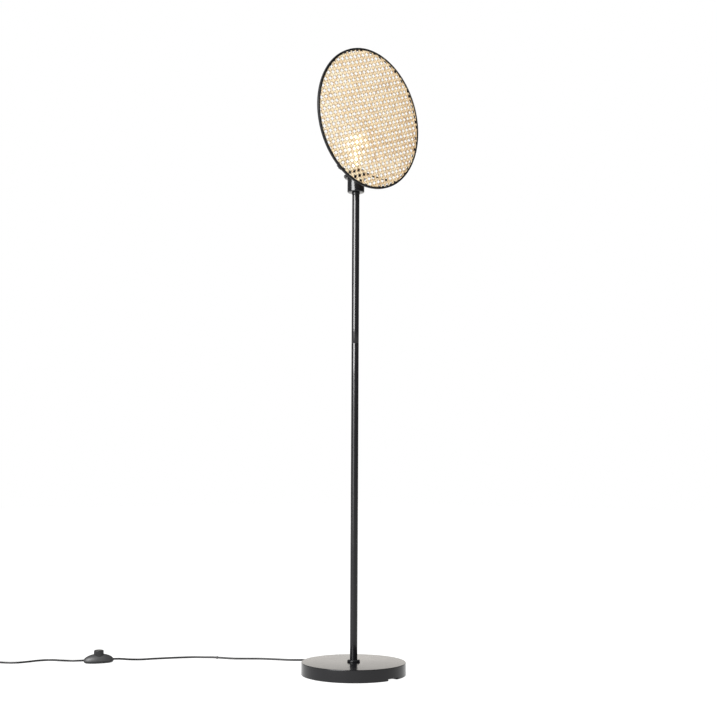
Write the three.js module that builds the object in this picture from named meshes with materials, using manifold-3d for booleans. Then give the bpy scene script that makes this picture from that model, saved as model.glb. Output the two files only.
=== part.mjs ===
// Floor lamp with a round cane screen in front of its bulb.
// Millimetres, +Z up. The origin is on the floor, on the pole's axis.
// The screen's face looks along -Y, and +X is to the right as seen from the front.

import * as THREE from 'three';
import { mergeVertices } from 'three/addons/utils/BufferGeometryUtils.js';
import Module from 'manifold-3d';

const wasm = await Module();
wasm.setup();

// Working distances and facet counts
const weldDistance = 0.0005;
const overrun = 2;
const seatGap = 0.3;
const fitClearance = 0.1;
const threadClearance = 0.2;
const largeSides = 64;
const hiddenSides = 36;
const poleSides = 20;
const smallSides = 12;
const edgeSteps = 2;

// Base
const baseRadius = 125;
const baseHeight = 30;
const baseFloorGap = 1;
const coverWall = 1.5;
const coverEdgeRadius = 1.5;
const notchWidth = 36;
const notchHeight = 4;
const notchDegrees = -86;
const padThickness = 3;
const padClearance = 1.5;
const padNotchDepth = 18;
const weightClearance = 11.5;
const weightChamfer = 2;
const recessRadius = 60;
const recessHeight = 17;
const channelWidth = 11;
const channelHeight = 11;
const washerRadius = 18;
const washerThickness = 2;
const nutAcrossFlats = 14;
const nutHeight = 4;
const collarRadius = 15.5;
const collarHeight = 6;
const collarEdgeRadius = 2.5;
const collarClearance = 0.25;

// Threaded tubes
const nippleRadius = 5;
const nippleBore = 4;
const nippleOverhang = 1;
const footNippleLength = 37;
const jointNippleLength = 25;
const topNippleLength = 30;
const topNippleGrip = 13.5;

// Pole
const poleRadius = 9;
const poleWall = 1.2;
const poleEndChamfer = 0.5;
const seamHeight = 796.4;
const poleTop = 1169.5;
const bushLength = 16;

// Lamp holder
const ferruleRadius = 10;
const ferruleHeight = 5;
const ferruleChamfer = 0.6;
const cupHeight = 35;
const cupWall = 1.2;
const cupFloor = 1.5;
const cupEdgeRadius = 2;
const holderLength = 32;
const holderGrip = 9.5;
const holderClearance = 0.2;
const holderWall = 2.3;
const holderStep = 2;
const holderShoulder = 3;
const holderLipRadius = 1;
const terminalHeight = 10;
const terminalWireRadius = 3.2;
const shellPlay = 0.65;
const shellWall = 0.7;
const shellClearance = 0.7;
const shellEndGap = 2;
const contactWidth = 6;
const contactLength = 12;
const contactThickness = 0.6;
const contactRise = 2;
const contactTabLength = 4;
const shadeRingWidth = 10.2;
const shadeRingHeight = 5;
const shadeRingEdge = 0.8;

// Bulb
const bulbRadius = 30;
const bulbCentreRise = 82;
const bulbGlassWall = 1;
const bulbNeckRadius = 12.3;
const bulbNeckRise = 26;
const bulbNeckDepth = 4;
const bulbShoulderDegrees = -40;
const bulbNeckShares = [[0, 0.001], [0.08, 0.22], [0.27, 0.47], [0.58, 0.72]];
const bulbArcSteps = 7;
const capRadius = 13.25;
const capWall = 0.6;
const capRise = 2;
const capLength = 24;
const capFloorRise = 3;
const capShoulderRise = 5;
const insulatorRadius = 9.5;
const tipRadius = 4.6;
const tipHeight = 1;
const insulatorWall = 0.7;
const stemRadius = 3.5;
const stemFlareThickness = 1;
const stickRadius = 1;
const stickCircle = 5;
const stickLength = 36;
const stickCount = 4;
const stickPlateThickness = 1;
const stickPlateMargin = 0.4;

// Bracket that carries the screen
const bracketThickness = 2.5;
const eyeWidth = 7.1;
const eyeClearance = 0.3;
const armWidth = 14;
const armReach = 16;
const armEndSetBack = 4.5;
const jawWall = 2.3;
const jawClearance = 0.2;
const capTabThickness = 2.2;
const capTabSetBack = 11.7;
const clampScrewSetBack = 8.5;
const clampScrewRadius = 1.5;
const clampScrewHeadRadius = 2.6;
const clampScrewHeadHeight = 2;
const clampScrewEnd = 1;
const clampNutAcrossFlats = 5.5;
const clampNutHeight = 2.4;

// Screen
const screenRadius = 175;
const screenFaceOffset = 8;
const rimWidth = 4.5;
const rimDepth = 6;
const rimEdge = 0.9;
const caneThickness = 1.4;
const caneSetBack = 0.6;
const clampRingWidth = 2.6;
const clampRingDepth = 2.5;
const caneTurnDegrees = 21.06;
const caneRowPitch = 14.87;
const caneColumnPitch = 13.43;
const netShare = 1.5;
const openingShare = 0.66;
const netEdge = 2.4;
const crossbarRadius = 2.5;
const crossbarRise = 1.2;
const crossbarDropShare = 0.812;
const tabReach = 10.2;
const tabLap = 2;
const tabHeight = 9;
const tabThickness = 3;
const tabEdge = 0.8;
const rimScrewRadius = 1.25;
const rimScrewHeadRadius = 2.4;
const rimScrewHeadHeight = 1.5;
const rimScrewDepth = 4.5;

// Cord
const cordRadius = 2.5;
const cordStep = 12.6;
const cordSides = 8;
const cordExitHeight = 8;
const cordExitDegrees = 50;
const leadBend = 7;
const leadRouteSteps = 8;
const reliefFlangeRadius = 4.6;
const reliefFlangeLength = 4;
const reliefNeckRadius = 3.9;
const reliefCollarRadius = 4.9;
const reliefTipRadius = 3.2;
const reliefLength = 26.7;
const reliefCollarLength = 4;
const slotClearance = 0.4;
const bandRadius = 3.45;
const bandClearance = 0.3;
const bandLength = 3.5;
const bandShare = 0.568;

// Foot switch
const switchX = -347.5;
const switchY = 565.3;
const switchDegrees = -23.5;
const switchLength = 76;
const switchWidth = 34;
const switchHeight = 23.2;
const switchBaseHeight = 5.5;
const switchBaseInset = 0.8;
const switchWall = 1.6;
const switchFloor = 2;
const switchOutlinePower = 2.1;
const switchOutlineSides = 24;
const domeShares = [[0, 1], [0.34, 0.94], [0.62, 0.785], [0.81, 0.586], [0.93, 0.368], [0.98, 0.2]];
const bowlShares = [[0, 0.8], [0.35, 0.93], [1, 1]];
const trayFloorShare = 0.9;
const switchCordHeight = 8;
const switchEntryClearance = 0.4;
const buttonRadius = 12.2;
const buttonRise = 9.3;
const buttonSkirt = 7.6;
const buttonWall = 2.2;
const buttonCrown = 3;
const buttonEdge = 1.2;
const buttonClearance = 0.3;
const lugReach = 14.5;
const lugWidth = 8;
const lugThickness = 1.8;
const lugSetDown = 2.4;
const mechanismGap = 0.8;
const mechanismWidth = 20;
const mechanismTop = 9.3;
const springRadius = 7;
const springWall = 1.4;
const springPegHeight = 3;
const clampBarLength = 5.5;
const clampBarWidth = 11;
const clampBarHeight = 2.5;
const clampBarSetBack = 13;
const clampRibWidth = 10;
const switchScrewEndGap = 20.5;
const switchScrewSideGap = 11;
const switchPostRadius = 3;
const switchBossRadius = 4.2;
const switchScrewRadius = 1.3;
const switchScrewHeadRadius = 2.6;
const switchScrewHeadHeight = 1.6;
const switchScrewSink = 0.6;
const switchScrewLength = 13;
const switchScrewClearance = 0.25;

// Coil of the spare cord, and the plug
const coilX = -584.8;
const coilY = 740.5;
const coilRadius = 37.4;
const coilPitch = 5.45;
const coilTurns = 5.378;
const coilStartDegrees = 31.94;
const coilHeight = 3.8;
const coilStepsPerTurn = 20;
const coilSides = 6;
const coilClimbShare = 0.5;
const coilProbesPerTurn = 40;
const tieDegrees = -80;
const tieWidth = 6;
const tieThickness = 0.9;
const tieClearance = 0.3;
const plugTail = 22;
const plugReliefLength = 24;
const plugReliefRadius = 5;
const plugLength = 36;
const plugWidth = 35.3;
const plugThickness = 13.7;
const plugTailShares = [[0, 0.2], [0, 0.8], [0.3, 1], [0.62, 1], [0.7, 0.94], [1, 0.94]];
const plugPinRadius = 2;
const plugPinLength = 19;
const plugPinSpacing = 19;
const plugPinSeat = 8;
const plugPinClearance = 0.3;

// Route of the cord from the base to the foot switch, set on its way by hand
const cordToSwitch = [
  [97.9, 116.7, 8], [104.3, 124.3, 7.5], [113, 141, 4.8], [114, 158, 3.1], [107, 176, 2.6],
  [93, 195, 2.6], [75, 215, 2.6], [51, 237, 2.6], [26, 263, 2.6], [8, 293, 2.6],
  [-13, 326, 2.6], [-40, 353, 2.6], [-65, 377, 2.8], [-81, 401, 3.5], [-94, 425, 3.6],
  [-108, 447, 2.8], [-124, 466, 2.6], [-147, 481, 2.6], [-182, 499, 2.6], [-217, 515, 2.6],
  [-247, 526, 2.7], [-272, 534.5, 4.4], [-296.1, 543, 7.2], [-307.1, 547.7, 8], [-325.5, 555.7, 8],
];

// Route of the cord from the foot switch to the coil
const cordToCoil = [
  [-369.5, 574.9, 8], [-387.9, 582.8, 8], [-403, 592.5, 8], [-411.5, 607, 7.5], [-414.5, 626, 6.2],
  [-413.5, 645, 4.4], [-414, 661, 3.2], [-424, 678, 2.6], [-447, 687, 2.6], [-474, 688, 2.6],
  [-500, 692, 2.6], [-519, 706, 2.6], [-535.1, 731.4, 2.7], [-546.8, 750.1, 3.4],
  [-550.3, 755.7, 3.8],
];

// Sizes that follow from the ones above
const coverInside = baseRadius - coverWall;
const coverUnderside = baseHeight - coverWall;
const padRadius = coverInside - padClearance;
const weightRadius = coverInside - weightClearance;
const nippleHole = nippleRadius + threadClearance;
const recessTop = padThickness + recessHeight;
const washerBottom = recessTop - washerThickness;
const footNutBottom = washerBottom - nutHeight;
const footNippleBottom = footNutBottom - nippleOverhang;
const bushRadius = poleRadius - poleWall - fitClearance;
const cupBottom = poleTop + ferruleHeight;
const cupTop = cupBottom + cupHeight;
const shellRadius = capRadius + shellPlay + shellWall;
const holderMouthRadius = shellRadius + shellClearance;
const holderBore = holderMouthRadius + holderStep;
const holderRadius = holderBore + holderWall;
const cupInside = holderRadius + holderClearance;
const cupRadius = cupInside + cupWall;
const cupFloorTop = cupBottom + cupFloor;
const holderBottom = cupTop - holderGrip;
const holderTop = holderBottom + holderLength;
const bracketBottom = cupTop + seatGap;
const bracketTop = bracketBottom + bracketThickness;
const eyeRadius = holderRadius + eyeClearance + eyeWidth;
const crossbarDistance = eyeRadius + armReach;
const crossbarHeight = bracketBottom + crossbarRise;
const armEnd = crossbarDistance - armEndSetBack;
const capTabEnd = crossbarDistance - capTabSetBack;
const clampScrewDistance = crossbarDistance - clampScrewSetBack;
const shadeRingBottom = bracketTop + seatGap;
const shadeRingTop = shadeRingBottom + shadeRingHeight;
const shadeRingRadius = holderRadius + holderClearance + shadeRingWidth;
const terminalRadius = holderBore - seatGap;
const terminalBottom = holderBottom + holderShoulder - seatGap;
const terminalTop = terminalBottom + terminalHeight;
const shellBottom = terminalTop + seatGap;
const bulbBottom = terminalTop + contactThickness + contactRise + seatGap;
const bulbCentre = bulbBottom + bulbCentreRise;
const bulbCapBottom = bulbBottom + capRise;
const bulbCapTop = bulbCapBottom + capLength;
const bulbNeckTop = bulbBottom + bulbNeckRise;
const springBottom = mechanismTop + seatGap;
const ceilingHeight = switchHeight - switchWall;
const buttonTop = switchHeight + buttonRise;
const buttonBottom = ceilingHeight - buttonSkirt;
const clampBarDistance = switchLength / 2 - clampBarSetBack;
const switchScrewX = switchLength / 2 - switchScrewEndGap;
const switchScrewY = switchWidth / 2 - switchScrewSideGap;
const mechanismLength = 2 * (switchScrewX - switchBossRadius - mechanismGap);
const screenFaceDistance = crossbarDistance + screenFaceOffset;
const screenBack = screenFaceDistance - rimDepth;
const caneFront = screenFaceDistance - caneSetBack;
const caneBack = caneFront - caneThickness;
const caneRadius = screenRadius - rimWidth - seatGap;
const crossbarDrop = screenRadius * crossbarDropShare;
const screenCentreHeight = crossbarHeight + crossbarDrop;
const rimMiddle = screenRadius - (rimWidth + rimEdge) / 2;
const rimScrewX = Math.sqrt(rimMiddle ** 2 - crossbarDrop ** 2);
const crossbarHalfLength = rimScrewX - tabReach;
const tabFront = screenBack - seatGap;
const tabBack = tabFront - tabThickness;
const switchCoverBottom = switchBaseHeight + seatGap;
const plugAxisHeight = plugThickness / 2;

// A closed mesh as a solid, with flat triangles dropped and its faces turned outward
function solidOf(geometry) {
  geometry.deleteAttribute('normal');
  geometry.deleteAttribute('uv');
  const welded = mergeVertices(geometry, weldDistance);
  const places = new Float32Array(welded.attributes.position.array);
  const corner = new THREE.Vector3();
  const next = new THREE.Vector3();
  const last = new THREE.Vector3();
  const faces = [];
  let volume = 0;
  for (let i = 0; i < welded.index.count; i += 3) {
    const [a, b, c] = [0, 1, 2].map((k) => welded.index.getX(i + k));
    if (a !== b && b !== c && c !== a) {
      faces.push(a, b, c);
      corner.fromArray(places, 3 * a);
      next.fromArray(places, 3 * b);
      last.fromArray(places, 3 * c);
      volume += corner.dot(next.cross(last));
    }
  }
  if (volume < 0) {
    faces.reverse();
  }
  const triVerts = new Uint32Array(faces);
  return new wasm.Manifold(new wasm.Mesh({ numProp: 3, vertProperties: places, triVerts }));
}

// A named mesh of a solid
function piece(name, solid, material) {
  const { vertProperties, triVerts } = solid.getMesh();
  const geometry = new THREE.BufferGeometry();
  geometry.setAttribute('position', new THREE.BufferAttribute(vertProperties, 3));
  geometry.setIndex(new THREE.BufferAttribute(triVerts, 1));
  geometry.computeVertexNormals();
  const mesh = new THREE.Mesh(geometry, material);
  mesh.name = name;
  return mesh;
}

// A profile of [radius, height] points turned about the Z axis
function turned(profile, sides) {
  const points = profile.map(([radius, height]) => new THREE.Vector2(radius, height));
  const open = profile[0][0] > 0 || profile[profile.length - 1][0] > 0;
  if (open) {
    points.push(points[0].clone());
  }
  return solidOf(new THREE.LatheGeometry(points, sides).rotateX(Math.PI / 2));
}

// A straight-walled tube, or a solid rod where its bore is zero
function tube(radius, bore, bottom, top, sides) {
  return turned([[bore, bottom], [radius, bottom], [radius, top], [bore, top]], sides);
}

// A rod along Z
function rod(radius, bottom, top, sides) {
  const geometry = new THREE.CylinderGeometry(radius, radius, top - bottom, sides);
  return solidOf(geometry.rotateX(Math.PI / 2).translate(0, 0, (bottom + top) / 2));
}

// A rod along X
function crossRod(radius, from, to, y, z, sides) {
  const geometry = new THREE.CylinderGeometry(radius, radius, to - from, sides);
  return solidOf(geometry.rotateZ(Math.PI / 2).translate((from + to) / 2, y, z));
}

// A block between two corners
function block(x0, x1, y0, y1, z0, z1) {
  const geometry = new THREE.BoxGeometry(x1 - x0, y1 - y0, z1 - z0);
  return solidOf(geometry.translate((x0 + x1) / 2, (y0 + y1) / 2, (z0 + z1) / 2));
}

// A flat outline raised into a plate
function plate(shape, bottom, top) {
  const settings = { depth: top - bottom, bevelEnabled: false, steps: 1 };
  return solidOf(new THREE.ExtrudeGeometry(shape, settings).translate(0, 0, bottom));
}

// A nut's six-sided outline, by its width across flats
function hexagonShape(acrossFlats) {
  const reach = acrossFlats / Math.sqrt(3);
  const corners = [0, 1, 2, 3, 4, 5].map((k) => {
    const angle = k * Math.PI / 3;
    return new THREE.Vector2(reach * Math.cos(angle), reach * Math.sin(angle));
  });
  return new THREE.Shape(corners);
}

// Points on an arc about (radius, height), from one angle to another in degrees
function arcPoints(radius, height, reach, from, to, steps) {
  const points = [];
  for (let i = 0; i <= steps; i += 1) {
    const angle = THREE.MathUtils.degToRad(from + (to - from) * i / steps);
    points.push([radius + reach * Math.cos(angle), height + reach * Math.sin(angle)]);
  }
  return points;
}

// A group turned about Z and moved to its place
function placed(x, y, z, degrees, members) {
  const group = new THREE.Group();
  group.position.set(x, y, z);
  group.rotation.z = THREE.MathUtils.degToRad(degrees);
  group.add(...members);
  return group;
}

// A threaded nut with its bore
function nut(acrossFlats, radius, bottom, top) {
  const bore = rod(radius + threadClearance, bottom - overrun, top + overrun, smallSides);
  return plate(hexagonShape(acrossFlats), bottom, top).subtract(bore);
}

// Materials
function finish(color, roughness, metalness) {
  return new THREE.MeshStandardMaterial({ color, roughness, metalness });
}

function blackEnamel() {
  return finish(0x17171a, 0.32, 0.4);
}

function castIron() {
  return finish(0x3a3a3c, 0.8, 0.7);
}

function blackRubber() {
  return finish(0x1b1b1c, 0.85, 0);
}

function zincSteel() {
  return finish(0xa8a9aa, 0.4, 0.9);
}

function blackPlastic() {
  return finish(0x1d1d1f, 0.45, 0);
}

function greyPlastic() {
  return finish(0x5c5c5e, 0.5, 0);
}

function whiteCeramic() {
  return finish(0xe9e6df, 0.35, 0);
}

function paleBrass() {
  return finish(0xc2a35c, 0.35, 0.9);
}

function clearGlass() {
  return new THREE.MeshStandardMaterial({
    color: 0xfff4dc, roughness: 0.08, metalness: 0, transparent: true, opacity: 0.45,
  });
}

function warmFilament() {
  return finish(0xffd79a, 0.6, 0);
}

function naturalCane() {
  return finish(0xc9a873, 0.6, 0);
}

function cordJacket() {
  return finish(0x1a1a1b, 0.55, 0);
}

// Base cover: a shallow pressed drum with a notch in its rim and a slot for the cord
function baseCover() {
  const corner = baseRadius - coverEdgeRadius;
  const shoulder = baseHeight - coverEdgeRadius;
  const drum = turned([
    [nippleHole, baseHeight],
    ...arcPoints(corner, shoulder, coverEdgeRadius, 90, 0, edgeSteps),
    [baseRadius, baseFloorGap],
    [coverInside, baseFloorGap],
    [coverInside, coverUnderside],
    [nippleHole, coverUnderside],
  ], largeSides);
  const notch = new THREE.BoxGeometry(2 * coverWall + 2 * overrun, notchWidth, 2 * notchHeight);
  notch.translate(baseRadius, 0, baseFloorGap);
  notch.rotateZ(THREE.MathUtils.degToRad(notchDegrees));
  const slotHalf = reliefNeckRadius + slotClearance;
  const slotSide = new THREE.BoxGeometry(2 * coverWall + 2 * overrun, 2 * slotHalf, cordExitHeight);
  slotSide.translate(baseRadius, 0, cordExitHeight / 2);
  slotSide.rotateZ(THREE.MathUtils.degToRad(cordExitDegrees));
  const slotTop = new THREE.CylinderGeometry(slotHalf, slotHalf, 2 * coverWall + 2 * overrun, smallSides);
  slotTop.rotateZ(Math.PI / 2).translate(baseRadius, 0, cordExitHeight);
  slotTop.rotateZ(THREE.MathUtils.degToRad(cordExitDegrees));
  const cuts = solidOf(notch).add(solidOf(slotSide)).add(solidOf(slotTop));
  return piece('base_cover', drum.subtract(cuts), blackEnamel());
}

// Base weight: a heavy iron ring with a recess for the nut and a channel for the cord
function baseWeight() {
  const ring = turned([
    [nippleHole, recessTop],
    [recessRadius, recessTop],
    [recessRadius, padThickness],
    [weightRadius, padThickness],
    [weightRadius, coverUnderside - weightChamfer],
    [weightRadius - weightChamfer, coverUnderside],
    [nippleHole, coverUnderside],
  ], hiddenSides);
  const reach = weightRadius + overrun;
  const channel = new THREE.BoxGeometry(reach - recessRadius / 2, channelWidth, 2 * channelHeight);
  channel.translate((reach + recessRadius / 2) / 2, 0, padThickness);
  channel.rotateZ(THREE.MathUtils.degToRad(cordExitDegrees));
  return piece('base_weight', ring.subtract(solidOf(channel)), castIron());
}

// Pad: a sheet under the weight, cut back behind the cover's notch
function basePad() {
  const gap = new THREE.BoxGeometry(2 * padNotchDepth, notchWidth, padThickness + 2 * overrun);
  gap.translate(padRadius, 0, padThickness / 2);
  gap.rotateZ(THREE.MathUtils.degToRad(notchDegrees));
  const sheet = rod(padRadius, 0, padThickness, hiddenSides).subtract(solidOf(gap));
  return piece('base_pad', sheet, blackRubber());
}

function baseWasher() {
  const washer = tube(washerRadius, nippleHole, washerBottom, recessTop, poleSides);
  return piece('base_washer', washer, zincSteel());
}

function baseNut() {
  const solid = nut(nutAcrossFlats, nippleRadius, footNutBottom, washerBottom);
  return piece('base_nut', solid, zincSteel());
}

function footNipple() {
  const top = footNippleBottom + footNippleLength;
  return piece('foot_nipple', tube(nippleRadius, nippleBore, footNippleBottom, top, smallSides), zincSteel());
}

// Foot collar: a rounded ring that hides the joint of pole and base
function footCollar() {
  const bore = poleRadius + collarClearance;
  const middle = collarRadius - collarEdgeRadius;
  const top = baseHeight + collarHeight;
  const ring = turned([
    [bore, baseHeight],
    [collarRadius, baseHeight],
    ...arcPoints(middle, top - collarEdgeRadius, collarEdgeRadius, 0, 90, edgeSteps),
    [bore, top],
  ], poleSides);
  return piece('foot_collar', ring, blackEnamel());
}

// One length of the pole, with its outer edges broken at both ends
function poleTube(name, bottom, top) {
  const bore = poleRadius - poleWall;
  const rim = poleRadius - poleEndChamfer;
  const wall = turned([
    [bore, bottom],
    [rim, bottom],
    [poleRadius, bottom + poleEndChamfer],
    [poleRadius, top - poleEndChamfer],
    [rim, top],
    [bore, top],
  ], poleSides);
  return piece(name, wall, blackEnamel());
}

// A threaded bush pressed into a pole's end
function poleBush(name, bottom) {
  const bush = tube(bushRadius, nippleHole, bottom, bottom + bushLength, poleSides);
  return piece(name, bush, zincSteel());
}

function jointNipple() {
  const bottom = seamHeight - jointNippleLength / 2;
  const top = seamHeight + jointNippleLength / 2;
  return piece('pole_joint_nipple', tube(nippleRadius, nippleBore, bottom, top, smallSides), zincSteel());
}

function topNipple() {
  const bottom = poleTop - topNippleGrip;
  const top = bottom + topNippleLength;
  return piece('top_nipple', tube(nippleRadius, nippleBore, bottom, top, smallSides), zincSteel());
}

// Route of the lead that the lamp holds: in from the rim, round a bend and up the pole.
// Its steps follow the three stretches, so the bend gets as many as each straight run.
class LeadRoute extends THREE.Curve {
  constructor(start, height, bend, top) {
    super();
    this.start = start;
    this.height = height;
    this.bend = bend;
    this.top = top;
  }

  getPoint(t, target = new THREE.Vector3()) {
    const stretch = Math.min(Math.floor(3 * t), 2);
    const part = 3 * t - stretch;
    if (stretch === 0) {
      return target.set(this.start + (this.bend - this.start) * part, 0, this.height);
    }
    if (stretch === 1) {
      const angle = part * Math.PI / 2;
      const out = this.bend * (1 - Math.sin(angle));
      return target.set(out, 0, this.height + this.bend * (1 - Math.cos(angle)));
    }
    const bottom = this.height + this.bend;
    return target.set(0, 0, bottom + (this.top - bottom) * part);
  }

  getPointAt(u, target) {
    return this.getPoint(u, target);
  }

  getTangentAt(u, target) {
    return this.getTangent(u, target);
  }
}

// A round section as a polygon
function roundSection(radius, sides) {
  const corners = [];
  for (let i = 0; i < sides; i += 1) {
    const angle = 2 * Math.PI * i / sides;
    corners.push(new THREE.Vector2(radius * Math.cos(angle), radius * Math.sin(angle)));
  }
  return new THREE.Shape(corners);
}

function sweptTube(path, radius, sides, steps) {
  const settings = { extrudePath: path, steps, bevelEnabled: false };
  return solidOf(new THREE.ExtrudeGeometry(roundSection(radius, sides), settings));
}

function innerLead() {
  const start = coverInside - reliefFlangeLength - seatGap - slotClearance - seatGap;
  const route = new LeadRoute(start, cordExitHeight, leadBend, terminalBottom - seatGap);
  const lead = sweptTube(route, cordRadius, cordSides, 3 * leadRouteSteps);
  return placed(0, 0, 0, cordExitDegrees, [piece('inner_lead', lead, cordJacket())]);
}

// Strain relief: flange inside the cover, neck in its slot and a tapered sleeve outside
function cordRelief() {
  const flangeOut = coverInside - slotClearance - seatGap;
  const flangeIn = flangeOut - reliefFlangeLength;
  const collarIn = baseRadius + slotClearance;
  const profile = [
    [0, flangeIn],
    [reliefFlangeRadius, flangeIn],
    [reliefFlangeRadius, flangeOut],
    [reliefNeckRadius, flangeOut],
    [reliefNeckRadius, collarIn],
    [reliefCollarRadius, collarIn],
    [reliefCollarRadius, collarIn + reliefCollarLength],
    [reliefTipRadius, collarIn + reliefLength - seatGap],
    [0, collarIn + reliefLength - seatGap],
  ];
  const points = profile.map(([radius, place]) => new THREE.Vector2(radius, place));
  const geometry = new THREE.LatheGeometry(points, smallSides).rotateZ(-Math.PI / 2);
  const sleeve = solidOf(geometry.translate(0, 0, cordExitHeight));
  return placed(0, 0, 0, cordExitDegrees, [piece('cord_relief', sleeve, blackRubber())]);
}

function holderFerrule() {
  const rim = ferruleRadius - ferruleChamfer;
  const ring = turned([
    [nippleHole, poleTop],
    [rim, poleTop],
    [ferruleRadius, poleTop + ferruleChamfer],
    [ferruleRadius, cupBottom - ferruleChamfer],
    [rim, cupBottom],
    [nippleHole, cupBottom],
  ], poleSides);
  return piece('holder_ferrule', ring, blackEnamel());
}

function holderCup() {
  const corner = cupRadius - cupEdgeRadius;
  const cup = turned([
    [nippleHole, cupBottom],
    ...arcPoints(corner, cupBottom + cupEdgeRadius, cupEdgeRadius, -90, 0, edgeSteps),
    [cupRadius, cupTop],
    [cupInside, cupTop],
    [cupInside, cupFloorTop],
    [nippleHole, cupFloorTop],
  ], poleSides);
  return piece('holder_cup', cup, blackEnamel());
}

function cupNut() {
  const solid = nut(nutAcrossFlats, nippleRadius, cupFloorTop, cupFloorTop + nutHeight);
  return piece('cup_nut', solid, zincSteel());
}

// Holder body: a moulded shell, wide round the terminal block and narrow at the bulb
function holderBody() {
  const lip = holderRadius - holderLipRadius;
  const bodyShell = turned([
    [holderBore - holderShoulder / 2, holderBottom],
    [holderRadius, holderBottom],
    ...arcPoints(lip, holderTop - holderLipRadius, holderLipRadius, 0, 90, edgeSteps),
    [holderMouthRadius, holderTop],
    [holderMouthRadius, shellBottom + seatGap],
    [holderBore, terminalTop + seatGap],
    [holderBore, holderBottom + holderShoulder - 2 * seatGap],
    [holderBore - holderShoulder / 2, holderBottom + holderShoulder - 2 * seatGap],
  ], poleSides);
  return piece('holder_body', bodyShell, blackPlastic());
}

function terminalBlock() {
  const block = tube(terminalRadius, 0, terminalBottom, terminalTop, poleSides);
  const wireTop = terminalBottom + terminalHeight / 2;
  const wires = rod(terminalWireRadius, terminalBottom - overrun, wireTop, smallSides);
  return piece('terminal_block', block.subtract(wires), whiteCeramic());
}

function screwShell() {
  const top = holderTop - shellEndGap;
  const wall = tube(shellRadius, shellRadius - shellWall, shellBottom - seatGap, top, poleSides);
  return piece('screw_shell', wall, paleBrass());
}

// Centre contact: a folded strip that the bulb's tip presses on
function centreContact() {
  const half = contactLength / 2;
  const width = contactWidth / 2;
  const outline = new THREE.Shape([
    new THREE.Vector2(-half, 0),
    new THREE.Vector2(half, 0),
    new THREE.Vector2(half, contactThickness),
    new THREE.Vector2(contactTabLength, contactThickness),
    new THREE.Vector2(contactTabLength / 2, contactThickness + contactRise),
    new THREE.Vector2(-contactTabLength / 2, contactThickness + contactRise),
    new THREE.Vector2(-contactTabLength, contactThickness),
    new THREE.Vector2(-half, contactThickness),
  ]);
  const settings = { depth: contactWidth, bevelEnabled: false, steps: 1 };
  const geometry = new THREE.ExtrudeGeometry(outline, settings).rotateX(Math.PI / 2);
  return piece('centre_contact', solidOf(geometry.translate(0, width, terminalTop)), paleBrass());
}

function shadeRing() {
  const bore = holderRadius + holderClearance;
  const rim = shadeRingRadius - shadeRingEdge;
  const ring = turned([
    [bore, shadeRingBottom],
    [rim, shadeRingBottom],
    [shadeRingRadius, shadeRingBottom + shadeRingEdge],
    [shadeRingRadius, shadeRingTop - shadeRingEdge],
    [rim, shadeRingTop],
    [bore, shadeRingTop],
  ], 2 * smallSides);
  return piece('shade_ring', ring, blackPlastic());
}

// Bulb glass: a round bulb drawn in to an open neck
function bulbGlass() {
  const shoulderAngle = THREE.MathUtils.degToRad(bulbShoulderDegrees);
  const shoulderRadius = bulbRadius * Math.cos(shoulderAngle);
  const shoulderHeight = bulbCentre + bulbRadius * Math.sin(shoulderAngle);
  const outside = arcPoints(0, bulbCentre, bulbRadius, 90, bulbShoulderDegrees, bulbArcSteps);
  outside[0][0] = 0;
  const neck = bulbNeckShares.map(([across, along]) => [
    bulbNeckRadius + (shoulderRadius - bulbNeckRadius) * across,
    bulbNeckTop + (shoulderHeight - bulbNeckTop) * along,
  ]).reverse();
  const foot = bulbNeckTop - bulbNeckDepth;
  const inside = arcPoints(0, bulbCentre, bulbRadius - bulbGlassWall, bulbShoulderDegrees, 90, bulbArcSteps);
  inside[inside.length - 1][0] = 0;
  const innerNeck = neck.map(([radius, height]) => [radius - bulbGlassWall, height]).reverse();
  const glass = turned([
    ...outside, ...neck,
    [bulbNeckRadius, foot],
    [bulbNeckRadius - bulbGlassWall, foot],
    ...innerNeck, ...inside,
  ], poleSides);
  return piece('bulb_glass', glass, clearGlass());
}

function bulbCap() {
  const floor = bulbCapBottom + capFloorRise;
  const cap = turned([
    [insulatorRadius, bulbCapBottom + capRise],
    [capRadius - capWall, floor + capWall],
    [capRadius, bulbCapBottom + capShoulderRise + capWall],
    [capRadius, bulbCapTop],
    [capRadius - capWall, bulbCapTop],
    [capRadius - capWall, bulbCapBottom + capShoulderRise + capWall],
    [capRadius - 2 * capWall, floor + 2 * capWall],
    [insulatorRadius, bulbCapBottom + capRise + capWall],
  ], poleSides);
  return piece('bulb_cap', cap, zincSteel());
}

function bulbInsulator() {
  const bottom = bulbBottom + tipHeight + fitClearance;
  const ring = turned([
    [0, bottom],
    [tipRadius + insulatorWall, bottom],
    [insulatorRadius - fitClearance, bulbCapBottom + capRise],
    [insulatorRadius - fitClearance, bulbCapBottom + capRise + capWall],
    [0, bulbCapBottom + capRise + capWall],
  ], smallSides);
  return piece('bulb_insulator', ring, blackPlastic());
}

function bulbTip() {
  return piece('bulb_tip', rod(tipRadius, bulbBottom, bulbBottom + tipHeight, smallSides), zincSteel());
}

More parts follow.
